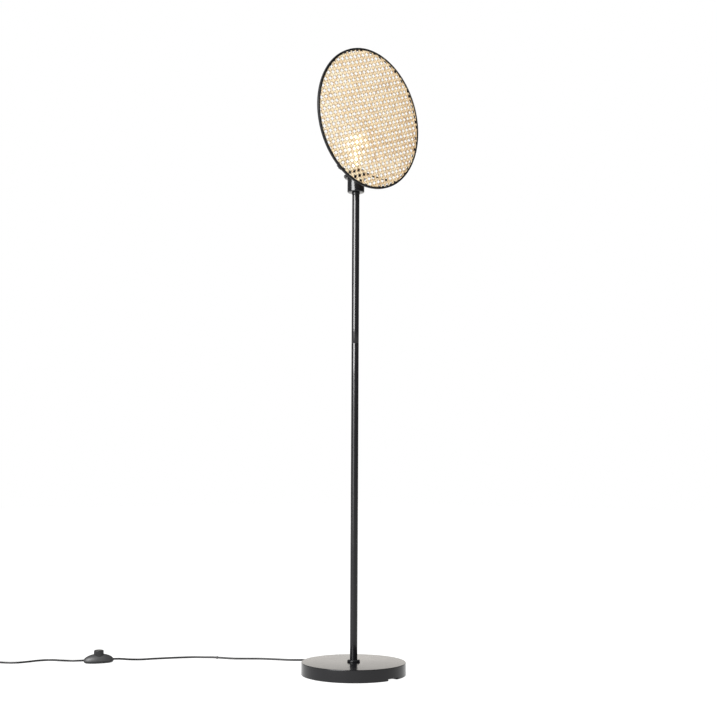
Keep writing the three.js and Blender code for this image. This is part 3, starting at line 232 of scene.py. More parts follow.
class Coat(Nodes):
    """A material while its nodes are laid."""

    def __init__(self, name: str) -> None:
        """Starts a material with one shader and its output.

        Args:
            name: The material's name.
        """
        self.material = bpy.data.materials.new(name)
        self.material.use_nodes = True
        super().__init__(self.material.node_tree)
        self.shader = self.node("ShaderNodeBsdfPrincipled")
        self.end = self.node("ShaderNodeOutputMaterial", {}, {"Surface": self.shader.outputs[0]})

    def even(self, **sockets: object) -> None:
        """Sets sockets of the shader that are the same all over the surface."""
        for name, value in sockets.items():
            self.shader.inputs[name.replace("_", " ")].default_value = value

    def feed(self, name: str, value: Ink) -> None:
        """Links what changes over the surface to a socket of the shader."""
        self.tree.links.new(value.socket, self.shader.inputs[name])

    def place(self, stretch: Colour = WHITE) -> Ink:
        """Object coordinates, stretched along each axis."""
        where = self.node("ShaderNodeTexCoord").outputs["Object"]
        return self.ink("ShaderNodeVectorMath", {"operation": "MULTIPLY"}, {0: where, 1: stretch})

    def join(self, *parts: Ink) -> Ink:
        """A vector of two or three values."""
        return self.ink("ShaderNodeCombineXYZ", {}, dict(enumerate(parts)))

    def cloud(self, where: Ink, scale: float, detail: float = 2.0, rough: float = 0.5) -> Ink:
        """Noise of a given scale, about 0 to 1."""
        sockets = {"Vector": where, "Scale": scale, "Detail": detail, "Roughness": rough}
        return self.ink("ShaderNodeTexNoise", {}, sockets)

    def blend(self, share: Ink | float, first: object, second: object) -> Ink:
        """Mixes two colours.

        Args:
            share: How much of the second colour shows.
            first: A colour or an Ink.
            second: A colour or an Ink.

        Returns:
            The mixed colour.
        """
        sides = [(*side, 1.0) if isinstance(side, tuple) else side for side in (first, second)]
        settings = {"data_type": "RGBA", "clamp_factor": True}
        return self.ink("ShaderNodeMix", settings, {0: share, 6: sides[0], 7: sides[1]}, 2)

    def relief(self, height: Ink, depth: float, strength: float) -> None:
        """Feeds a bump of that depth in metres to the shader's normal."""
        sockets = {"Height": height, "Distance": depth, "Strength": strength}
        self.feed("Normal", self.ink("ShaderNodeBump", {}, sockets))


@dataclass(frozen=True)
class Grain:
    """Cloudy noise in object space, which may be stretched along Z."""

    scale: float
    detail: float = 2.0
    rough: float = 0.5
    stretch: float = 1.0

    def lay(self, coat: Coat) -> Ink:
        """Adds the noise to a coat."""
        where = coat.place((1.0, 1.0, self.stretch))
        return coat.cloud(where, self.scale, self.detail, self.rough)


@dataclass(frozen=True)
class Patina:
    """Two colours in soft patches over a fine grain, for the plainer materials.

    Spread is where the second colour starts, where it is full, and its share.
    Roughness is its base, then how much the patches and the grain add.
    """

    slot: Slot
    tint: Colour
    worn: Colour
    patches: Grain
    spread: Corner
    grain: Grain
    roughness: Corner
    relief: Point
    metallic: float = 0.0
    gloss: float = 0.5
    glaze: float = 0.0

    def make(self) -> bpy.types.Material:
        """Lays the patches, the grain and the sheen.

        Returns:
            The material.
        """
        coat = Coat(self.slot.value)
        patches, grain = self.patches.lay(coat), self.grain.lay(coat)
        start, full, share = self.spread
        base, by_patches, by_grain = self.roughness
        worn = patches.between(start, full) * share
        coat.feed("Base Color", coat.blend(worn, self.tint, self.worn))
        coat.feed("Roughness", base + patches * by_patches + grain * by_grain)
        coat.relief(grain, *self.relief)
        coat.even(Metallic=self.metallic, Specular_IOR_Level=self.gloss, Coat_Weight=self.glaze)
        return coat.material


PATINAS = (
    Patina(
        Slot.IRON, (0.05, 0.05, 0.052), (0.11, 0.055, 0.03), Grain(22.0, 4.0, 0.6),
        (0.5, 0.75, 0.6), Grain(420.0, 5.0, 0.65), (0.62, 0.0, 0.3), (0.0005, 0.7), metallic=0.75,
    ),
    Patina(
        Slot.RUBBER, (0.011, 0.011, 0.012), (0.04, 0.04, 0.041), Grain(45.0, 5.0, 0.6),
        (0.45, 0.8, 0.5), Grain(900.0, 3.0, 0.6), (0.55, 0.25, 0.0), (0.00008, 0.5),
    ),
    Patina(
        Slot.STEEL, (0.52, 0.53, 0.54), (0.55, 0.5, 0.38), Grain(60.0, 3.0), (0.4, 0.75, 0.7),
        Grain(260.0, 3.0, 0.6, 14.0), (0.24, 0.0, 0.22), (0.00003, 0.4), metallic=1.0,
    ),
    Patina(
        Slot.PLASTIC, (0.006, 0.006, 0.0063), (0.014, 0.014, 0.014), Grain(70.0, 3.0),
        (0.45, 0.8, 0.5), Grain(1500.0, 2.0, 0.6), (0.29, 0.12, 0.06), (0.00004, 0.4), gloss=0.36,
    ),
    Patina(
        Slot.GREY, (0.021, 0.021, 0.0215), (0.035, 0.035, 0.0345), Grain(70.0, 3.0),
        (0.45, 0.8, 0.5), Grain(1500.0, 2.0, 0.6), (0.41, 0.12, 0.06), (0.00004, 0.4), gloss=0.36,
    ),
    Patina(
        Slot.CERAMIC, (0.8, 0.78, 0.72), (0.66, 0.6, 0.5), Grain(120.0, 4.0, 0.6),
        (0.55, 0.8, 0.5), Grain(300.0), (0.18, 0.2, 0.0), (0.00005, 0.3), glaze=0.4,
    ),
    Patina(
        Slot.BRASS, (0.72, 0.55, 0.26), (0.42, 0.29, 0.12), Grain(110.0, 4.0, 0.65),
        (0.5, 0.8, 1.0), Grain(400.0, stretch=6.0), (0.2, 0.25, 0.0), (0.00003, 0.4), metallic=1.0,
    ),
    Patina(
        Slot.CORD, (0.0065, 0.0065, 0.007), (0.024, 0.024, 0.025), Grain(85.0, 4.0, 0.6),
        (0.5, 0.8, 0.5), Grain(1300.0), (0.36, 0.2, 0.0), (0.00003, 0.4), gloss=0.3,
    ),
)


@dataclass(frozen=True)
class Enamel:
    """Black powder coat: semi-gloss, finely pebbled, a little dusty."""

    name: str = Slot.ENAMEL.value
    tint: Colour = (0.0042, 0.0042, 0.0048)
    dust: Colour = (0.016, 0.015, 0.0145)
    roughness: float = 0.19
    gloss: float = 0.3
    pebble: float = 900.0
    depth: float = 0.000012

    def make(self) -> bpy.types.Material:
        """Lays the coat's colour, gloss and pebble.

        Returns:
            The material.
        """
        coat = Coat(self.name)
        where = coat.place()
        drift = coat.cloud(where, 11.0, 4.0, 0.6)
        cells = coat.ink("ShaderNodeTexVoronoi", {}, {"Vector": where, "Scale": 260.0})
        specks = cells.between(0.14, 0.06)
        dusty = drift.between(0.52, 0.8) * 0.4 + specks * 0.2
        coat.feed("Base Color", coat.blend(dusty, self.tint, self.dust))
        coat.feed("Roughness", self.roughness + (drift - 0.5) * 0.1 + specks * 0.06)
        coat.relief(coat.cloud(where, self.pebble, 1.0), self.depth, 0.25)
        coat.even(Specular_IOR_Level=self.gloss)
        return coat.material


@dataclass(frozen=True)
class BulbGlass:
    """Clear thin glass that shows at its edges."""

    tint: Colour = (1.0, 0.97, 0.9)
    smoke: Colour = (0.86, 0.84, 0.78)
    face: float = 0.06
    rim: float = 0.6

    def make(self) -> bpy.types.Material:
        """Lays the clear face, the denser edge and faint ripples.

        Returns:
            The material.
        """
        coat = Coat(Slot.GLASS.value)
        rim = coat.ink("ShaderNodeLayerWeight", {}, {"Blend": 0.35}, "Facing")
        ripple = coat.cloud(coat.place(), 30.0)
        coat.feed("Alpha", self.face + rim ** 2.5 * self.rim)
        coat.feed("Roughness", 0.02 + ripple * 0.03)
        coat.feed("Base Color", coat.blend(ripple, self.tint, self.smoke))
        coat.relief(ripple, 0.0004, 0.2)
        coat.even(IOR=1.5)
        return coat.material


@dataclass(frozen=True)
class Filament:
    """Coated light sticks, lit."""

    core: Colour = (1.0, 0.8, 0.5)
    ends: Colour = (1.0, 0.62, 0.26)
    strength: float = 9.0

    def make(self) -> bpy.types.Material:
        """Lays the light of the sticks.

        Returns:
            The material.
        """
        coat = Coat(Slot.FILAMENT.value)
        patches = coat.cloud(coat.place(), 500.0)
        for name in ("Base Color", "Emission Color"):
            coat.feed(name, coat.blend(patches, self.core, self.ends))
        coat.feed("Roughness", 0.5 + patches * 0.2)
        coat.even(Emission_Strength=self.strength)
        return coat.material


@dataclass(frozen=True)
class Cane:
    """Split cane: a shiny skin with fine fibres, a little different from strand to strand, darkened
    by painted shade where strands cross.
    """

    pale: Colour = (1.0, 0.9, 0.67)
    usual: Colour = (0.97, 0.765, 0.465)
    dark: Colour = (0.5, 0.31, 0.14)
    node_mark: Colour = (0.25, 0.14, 0.06)
    through: Colour = (0.98, 0.85, 0.64)
    # deep is the colour of painted shade where a neighbouring strand crosses close in front, and
    # shade is how far toward it the colour goes.
    deep: Colour = (0.1, 0.042, 0.014)
    shade: float = 0.95

    def make(self) -> bpy.types.Material:
        """Lays the strand colours, fibres, growth marks and sheen, and painted shade under crossing
        strands and along strand edges.

        Returns:
            The material.
        """
        coat = Coat(Slot.CANE.value)
        facts = coat.node("ShaderNodeAttribute", {"attribute_name": "weave"})
        parts = coat.node("ShaderNodeSeparateXYZ", {}, {0: facts.outputs["Vector"]})
        tone, along, across = (Ink(coat, parts.outputs[k]) for k in range(3))
        # The depth attribute holds painted shade from crossing strands: 0 in the open to 1 under a
        # close neighbour.
        depth = coat.ink("ShaderNodeAttribute", {"attribute_name": "depth"}, {}, "Fac")
        fibres = coat.cloud(coat.join(along * 22.0, across * 7.0, tone * 91.0), 1.0, 4.0, 0.62)
        patches = coat.cloud(coat.join(along * 9.0, tone * 57.0), 1.0)
        marks = coat.cloud(coat.join(along * 34.0, tone * 173.0), 1.0, 0.0).between(0.73, 0.78)
        edge = (across * across).between(0.55, 1.0)
        shade = tone * 0.5 + patches * 0.6 + (fibres - 0.5) * 0.7 - 0.1
        stops = [(0.1, self.pale), (0.45, self.usual), (0.95, self.dark)]
        colour = coat.ink("ShaderNodeValToRGB", {"stops": stops}, {0: shade})
        # Painted shade and the cane's own darker edges: each strand's edges go toward the dark
        # colour.
        colour = coat.blend(edge * 0.9, colour, self.dark)
        # Painted shade: the colour goes toward deep where the depth attribute says a neighbour
        # crosses close in front.
        colour = coat.blend(depth * self.shade, colour, self.deep)
        coat.feed("Base Color", coat.blend(marks * 0.7, colour, self.node_mark))
        coat.feed("Roughness", 0.36 + fibres * 0.24 + edge * 0.12)
        coat.relief(fibres, 0.00012, 0.6)
        coat.even(Specular_IOR_Level=0.45)
        glow = coat.node("ShaderNodeBsdfTranslucent", {}, {"Color": (*self.through, 1.0)})
        sides = {0: 0.15, 1: coat.shader.outputs[0], 2: glow.outputs[0]}
        both = coat.node("ShaderNodeMixShader", {}, sides)
        coat.tree.links.new(both.outputs[0], coat.end.inputs[0])
        return coat.material


def added(name: str, data: bpy.types.ID) -> Thing:
    """Makes an object of some data and puts it in the scene.

    Args:
        name: The object's name.
        data: Its mesh, curve, light or camera.

    Returns:
        The object.
    """
    made = bpy.data.objects.new(name, data)
    bpy.context.scene.collection.objects.link(made)
    return made


def clamped(value: float) -> float:
    """A value held between 0 and 1."""
    return min(max(value, 0.0), 1.0)


def polar(radius: float, angle: float, height: float = 0.0) -> Vector:
    """A point at a radius, angle and height about the Z axis."""
    return Vector((radius * cos(angle), radius * sin(angle), height))


def circle(radius: float, height: float, steps: int) -> list[Vector]:
    """Points of a level circle."""
    return [polar(radius, tau * k / steps, height) for k in range(steps)]


def flat_circle(radius: float, steps: int, y: float = 0.0) -> list[Point]:
    """Points of a circle in a plane, about a middle on the second axis."""
    return [(point.x, y + point.y) for point in circle(radius, 0.0, steps)]


def shift(x: float, y: float, z: float) -> Matrix:
    """A move by three lengths."""
    return Matrix.Translation((x, y, z))


def spin(angle: float, axis: str) -> Matrix:
    """A turn in radians about an axis."""
    return Matrix.Rotation(angle, 4, axis)


class Blank:
    """Points and faces of a piece before it becomes a mesh."""

    def __init__(self) -> None:
        """Starts with nothing."""
        self.points: list[Vector] = []
        self.faces: list[tuple[int, ...]] = []

    def ring(self, points: Sequence[Vector]) -> list[int]:
        """Adds points.

        Args:
            points: The points.

        Returns:
            Their numbers.
        """
        first = len(self.points)
        self.points.extend(Vector(point) for point in points)
        return list(range(first, len(self.points)))

    def bridge(self, low: list[int], high: list[int]) -> None:
        """Joins two closed rings, either of which may be one point.

        Args:
            low: Numbers of the first ring's points.
            high: Numbers of the second ring's points.
        """
        count = max(len(low), len(high))
        for k in range(count):
            after = (k + 1) % count
            face = [low[k % len(low)], low[after % len(low)]]
            face += [high[after % len(high)], high[k % len(high)]]
            kept = [v for i, v in enumerate(face) if v not in face[:i]]
            if len(kept) > 2:
                self.faces.append(tuple(kept))

    def stack(self, rings: Sequence[Sequence[Vector]], loop: bool = False) -> "Blank":
        """Joins rings in order, then the last to the first, or else shuts both ends.

        Args:
            rings: The points of each ring.
            loop: Whether the last ring joins the first.

        Returns:
            This blank.
        """
        numbered = [self.ring(points) for points in rings]
        for low, high in zip(numbered, numbered[1:]):
            self.bridge(low, high)
        if loop:
            self.bridge(numbered[-1], numbered[0])
        else:
            ends = (numbered[0], numbered[-1])
            self.faces += [tuple(end) for end in ends if len(end) > 2]
        return self

    def join(self, other: "Blank", where: Matrix | None = None) -> "Blank":
        """Adds another blank, moved to its place.

        Args:
            other: The blank to add.
            where: Its move, if any.

        Returns:
            This blank.
        """
        first = len(self.points)
        moved = other.points if where is None else [where @ point for point in other.points]
        self.points.extend(Vector(point) for point in moved)
        self.faces.extend(tuple(v + first for v in face) for face in other.faces)
        return self

    def moved(self, where: Matrix) -> "Blank":
        """A copy of it, moved."""
        return Blank().join(self, where)

    def to_object(self, name: str, sharp: float = 32.0) -> Thing:
        """Makes its object, in metres.

        Args:
            name: The piece's name.
            sharp: Edges bent more than this many degrees stay sharp.

        Returns:
            The object, in the scene.
        """
        mesh = bpy.data.meshes.new(name)
        mesh.from_pydata([point * MM for point in self.points], [], self.faces)
        work = bmesh.new()
        work.from_mesh(mesh)
        bmesh.ops.remove_doubles(work, verts=work.verts, dist=WELD)
        bmesh.ops.recalc_face_normals(work, faces=work.faces)
        work.to_mesh(mesh)
        work.free()
        mesh.shade_smooth()
        mesh.set_sharp_from_angle(angle=radians(sharp))
        return added(name, mesh)


class PaintShop:
    """Makes each finish once and puts it on pieces."""

    def __init__(self) -> None:
        """Makes one material for each slot, and the satin one of the rim."""
        finishes = {finish.slot: finish for finish in PATINAS} | {
            Slot.ENAMEL: Enamel(), Slot.GLASS: BulbGlass(), Slot.FILAMENT: Filament(),
            Slot.CANE: Cane(),
        }
        self.materials = {slot: finish.make() for slot, finish in finishes.items()}
        self.satin = Enamel(name="satin_enamel", roughness=0.4, gloss=0.2).make()

    @staticmethod
    def dip(thing: Thing, material: bpy.types.Material) -> None:
        """Gives a piece one material all over."""
        thing.data.materials.clear()
        thing.data.materials.append(material)

    def fit(self, thing: Thing, slot: Slot, *nodes: str, body: Body = Body.ROOT) -> Thing:
        """Paints a new piece and puts it on its body, in the place of its CAD nodes.

        Args:
            thing: The new piece, at its place at rest.
            slot: Its finish.
            nodes: The CAD nodes that it stands for.
            body: The body that it rides on.

        Returns:
            The piece.
        """
        self.dip(thing, self.materials[slot])
        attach(thing, body.value)
        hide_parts(*nodes)
        LOG.info("%s: %d faces", thing.name, len(getattr(thing.data, "polygons", ())))
        return thing

    def make(
        self, blank: Blank, name: str, slot: Slot, node: str, body: Body = Body.ROOT,
        sharp: float = 32.0,
    ) -> Thing:
        """Makes a piece of a blank and fits it.

        Args:
            blank: The piece's form, at its place at rest.
            name: Its name.
            slot: Its finish.
            node: The CAD node that it stands for.
            body: The body that it rides on.
            sharp: Edges bent more than this many degrees stay sharp.

        Returns:
            The piece.
        """
        return self.fit(blank.to_object(name, sharp), slot, node, body=body)


@dataclass(frozen=True)
class Span:
    """Box of a CAD node at rest, in millimetres."""

    low: Vector
    high: Vector

    @classmethod
    def of(cls, node: str) -> "Span":
        """The span of a node."""
        low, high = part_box(node)
        return cls(low / MM, high / MM)

    @property
    def bottom(self) -> float:
        """Its lowest height."""
        return self.low.z

    @property
    def top(self) -> float:
        """Its greatest height."""
        return self.high.z

    @property
    def radius(self) -> float:
        """Half its width."""
        return (self.high.x - self.low.x) / 2

    @property
    def half_depth(self) -> float:
        """Half its depth, from front to back."""
        return (self.high.y - self.low.y) / 2

    @property
    def round(self) -> Corner:
        """Its lowest and greatest height and half its width."""
        return self.bottom, self.top, self.radius


def rounded(corners: Sequence[Corner], steps: int) -> list[Point]:
    """Rounds each corner of an outline by its own radius.

    Args:
        corners: Two places and a radius for each corner. An open end has no radius.
        steps: Points of each arc.

    Returns:
        The outline's points.
    """
    made: list[Point] = []
    for i, (x, y, radius) in enumerate(corners):
        if radius == 0:
            made.append((x, y))
            continue
        here = Vector((x, y))
        back = Vector(corners[i - 1][:2]) - here
        onward = Vector(corners[(i + 1) % len(corners)][:2]) - here
        half = back.angle(onward) / 2
        reach = min(radius / tan(half), 0.49 * back.length, 0.49 * onward.length)
        bend = reach * tan(half)
        inward = (back.normalized() + onward.normalized()).normalized()
        middle = here + inward * (bend / sin(half))
        start = here + back.normalized() * reach - middle
        finish = here + onward.normalized() * reach - middle
        first = atan2(start.y, start.x)
        swing = (atan2(finish.y, finish.x) - first + pi) % tau - pi
        for k in range(steps + 1):
            angle = first + swing * k / steps
            made.append((middle.x + bend * cos(angle), middle.y + bend * sin(angle)))
    return made


def turned(
    profile: Sequence[Point], steps: int,
    shaped: Callable[[float, float, float], float] | None = None,
) -> Blank:
    """Turns a profile of radius and height about the Z axis.

    Args:
        profile: The outline, which runs back to its start unless that is on the axis.
        steps: Points round the axis.
        shaped: What the radius becomes, from the profile's radius, the height and the angle.

    Returns:
        The turned blank.
    """
    rings = []
    for radius, height in profile:
        if radius < TINY:
            rings.append([Vector((0, 0, height))])
        elif shaped is None:
            rings.append(circle(radius, height, steps))
        else:
            turns = [tau * k / steps for k in range(steps)]
            rings.append([polar(shaped(radius, height, a), a, height) for a in turns])
    return Blank().stack(rings, loop=len(rings[0]) > 1)


def lathe(corners: Sequence[Corner], arc: int, steps: int) -> Blank:
    """Turns an outline with rounded corners: its corners, points per arc and points round."""
    return turned(rounded(corners, arc), steps)


def rises(low: float, high: float, rows: int) -> list[float]:
    """Heights from low to high, evenly apart."""
    return [low + (high - low) * row / rows for row in range(rows + 1)]


def groove(angle: float, rise: float, pitch: float) -> float:
    """Share of a round thread's depth at an angle and a rise: 0 on its ridge, 1 between."""
    return 0.5 - 0.5 * cos(tau * (rise / pitch + angle / tau))


def oval(half_x: float, half_y: float, power: float, steps: int) -> list[Point]:
    """Points of a squared-off oval.

    Args:
        half_x: Half its width.
        half_y: Half its height.
        power: 2 for an ellipse, and more for squarer.
        steps: How many points.

    Returns:
        The points.
    """
    made = []
    for k in range(steps):
        c, s = cos(tau * (k + 0.5) / steps), sin(tau * (k + 0.5) / steps)
        x, y = (copysign(abs(value) ** (2 / power), value) for value in (c, s))
        made.append((x * half_x, y * half_y))
    return made


def plate(outlines: Sequence[Sequence[Point]], bottom: float, top: float, edge: float) -> Blank:
    """A flat plate with holes and softened edges.

    Args:
        outlines: The outer outline and those of its holes.
        bottom: Height of its underside.
        top: Height of its top.
        edge: Radius of its edges.

    Returns:
        The plate's blank.
    """
    curve = bpy.data.curves.new("plate_outline", "CURVE")
    curve.dimensions = "2D"
    curve.fill_mode = "BOTH"
    curve.extrude = (top - bottom) / 2 - edge
    curve.bevel_depth = edge
    curve.bevel_resolution = 2
    curve.offset = -edge
    for outline in outlines:
        spline = curve.splines.new("POLY")
        spline.points.add(len(outline) - 1)
        for place, (x, y) in zip(spline.points, outline):
            place.co = (x, y, 0.0, 1.0)
        spline.use_cyclic_u = True
    holder = added("plate_outline", curve)
    graph = bpy.context.evaluated_depsgraph_get()
    mesh = bpy.data.meshes.new_from_object(holder.evaluated_get(graph))
    blank = Blank()
    lift = Vector((0, 0, (top + bottom) / 2))
    blank.ring([vertex.co + lift for vertex in mesh.vertices])
    blank.faces = [tuple(face.vertices) for face in mesh.polygons]
    bpy.data.objects.remove(holder)
    bpy.data.curves.remove(curve)
    bpy.data.meshes.remove(mesh)
    return blank


def swept(path: Sequence[Vector], section: Sequence[Point]) -> Blank:
    """Sweeps a section along a path without twist and shuts both ends.

    Args:
        path: The points that it follows.
        section: The section's sideways and upward places.

    Returns:
        The swept blank.
    """
    side = None
    rings = []
    for i, here in enumerate(path):
        along = (path[min(i + 1, len(path) - 1)] - path[max(i - 1, 0)]).normalized()
        if side is None:
            guide = Vector((0, 0, 1)) if abs(along.z) < 0.9 else Vector((1, 0, 0))
            side = along.cross(guide).normalized()
        side = (side - along * side.dot(along)).normalized()
        up = side.cross(along)
        rings.append([here + side * x + up * y for x, y in section])
    return Blank().stack(rings)


def smooth_route(points: Sequence[Sequence[float]], spacing: float) -> list[Vector]:
    """A smooth line through points, as the CAD route has it.

    Args:
        points: The route's points.
        spacing: About how far apart the line's points are.

    Returns:
        The line's points.
    """
    places = [Vector(point) for point in points]
    row = [places[0] * 2 - places[1], *places, places[-1] * 2 - places[-2]]
    line = [places[0]]
    for a, b, c, d in zip(row, row[1:], row[2:], row[3:]):
        gaps = [max((q - p).length ** 0.5, 1e-4) for p, q in ((a, b), (b, c), (c, d))]
        start = (b - a) / gaps[0] - (c - a) / (gaps[0] + gaps[1]) + (c - b) / gaps[1]
        finish = (c - b) / gaps[1] - (d - b) / (gaps[1] + gaps[2]) + (d - c) / gaps[2]
        steps = max(2, round((c - b).length / spacing))
        for k in range(1, steps + 1):
            t = k / steps
            line.append(
                b * (2 * t ** 3 - 3 * t ** 2 + 1)
                + start * gaps[1] * (t ** 3 - 2 * t ** 2 + t)
                + c * (3 * t ** 2 - 2 * t ** 3)
                + finish * gaps[1] * (t ** 3 - t ** 2)
            )
    return line


def length_of(line: Sequence[Vector]) -> float:
    """Length along a line of points."""
    return sum((b - a).length for a, b in zip(line, line[1:]))


@dataclass(frozen=True)
class Viewpoint:
    """The photograph's camera, in the part's frame, in metres."""

    place: Colour = (-1.9960, -2.0389, 0.4651)
    ahead: Colour = (0.69796, 0.70877, 0.10251)
    right: Colour = (0.71218, -0.70198, 0.00454)
    up: Colour = (-0.07518, -0.06983, 0.99472)
    lens: float = 58.65
    sensor: float = 36.0
    clip: Point = (0.05, 60.0)

    def set_up(self) -> None:
        """Makes the camera and gives it to the scene."""
        data = bpy.data.cameras.new("camera")
        data.lens = self.lens
        data.sensor_width = self.sensor
        data.clip_start, data.clip_end = self.clip
        camera = added("camera", data)
        axes = Matrix((self.right, self.up, -Vector(self.ahead))).transposed().to_4x4()
        camera.matrix_world = Matrix.Translation(self.place) @ axes
        bpy.context.scene.camera = camera


@dataclass(frozen=True)
class Studio:
    """Plain pale floor and soft light all round.

    Each panel has a name, a place, the height on the pole that it faces, a size, a power in
    watts and a tint, in metres.
    """

    floor_reach: float = 14.0
    floor_tone: float = 0.09
    floor_glow: float = 1.0
    backdrop: float = 1.0
    ambient: float = 0.27
    fill: float = 0.38
    air: Colour = (1.0, 0.99, 0.975)
    panels: tuple = (
        ("key_panel", (-3.0, -0.42, 2.15), 1.2, (2.3, 2.3), 455.0, WHITE),
        ("low_panel", (-3.0, -0.42, 0.62), 0.6, (2.0, 0.7), 22.0, WHITE),
        ("back_panel", (3.2, 3.25, 0.9), 0.6, (7.0, 1.6), 38.0, (1.0, 0.955, 0.895)),
    )

    def set_up(self) -> None:
        """Lays the floor, the backdrop and the panels of light."""
        self._floor()
        self._backdrop()
        for name, place, height, size, power, tint in self.panels:
            data = bpy.data.lights.new(name, "AREA")
            data.color, data.energy, data.shape = tint, power, "RECTANGLE"
            data.size, data.size_y = size
            lamp = added(name, data)
            lamp.location = place
            aim = Vector((0.0, 0.0, height)) - Vector(place)
            lamp.rotation_euler = aim.to_track_quat("-Z", "Y").to_euler()
            lamp.visible_camera = False

    def _floor(self) -> None:
        """A wide floor that is bright enough to hold almost no shadow."""
        blank = Blank()
        reach = self.floor_reach / MM
        corners = [(-reach, -reach, 0), (reach, -reach, 0), (reach, reach, 0), (-reach, reach, 0)]
        blank.faces = [tuple(blank.ring([Vector(corner) for corner in corners]))]
        floor_object = blank.to_object("floor")
        coat = Coat("studio_floor")
        coat.even(Base_Color=(*[self.floor_tone] * 3, 1.0), Roughness=0.9, Specular_IOR_Level=0.1)
        coat.even(Emission_Color=(*WHITE, 1.0), Emission_Strength=self.floor_glow)
        floor_object.data.materials.append(coat.material)

    def _backdrop(self) -> None:
        """A surround that is white to the eye, and softer to matt and to shiny surfaces."""
        world = bpy.data.worlds.new("studio")
        bpy.context.scene.world = world
        world.use_nodes = True
        nodes = Nodes(world.node_tree)
        shades = ((WHITE, self.backdrop), (self.air, self.ambient), (self.air, self.fill))
        shown, dimmed, soft = (
            nodes.node("ShaderNodeBackground", {}, {"Color": (*tint, 1.0), "Strength": power})
            for tint, power in shades
        )
        rays = nodes.node("ShaderNodeLightPath").outputs
        sides = {0: rays["Is Diffuse Ray"], 1: dimmed.outputs[0], 2: soft.outputs[0]}
        lit = nodes.node("ShaderNodeMixShader", {}, sides)
        sides = {0: rays["Is Camera Ray"], 1: lit.outputs[0], 2: shown.outputs[0]}
        both = nodes.node("ShaderNodeMixShader", {}, sides)
        nodes.node("ShaderNodeOutputWorld", {}, {"Surface": both.outputs[0]})
        bpy.context.scene.view_settings.view_transform = "Standard"


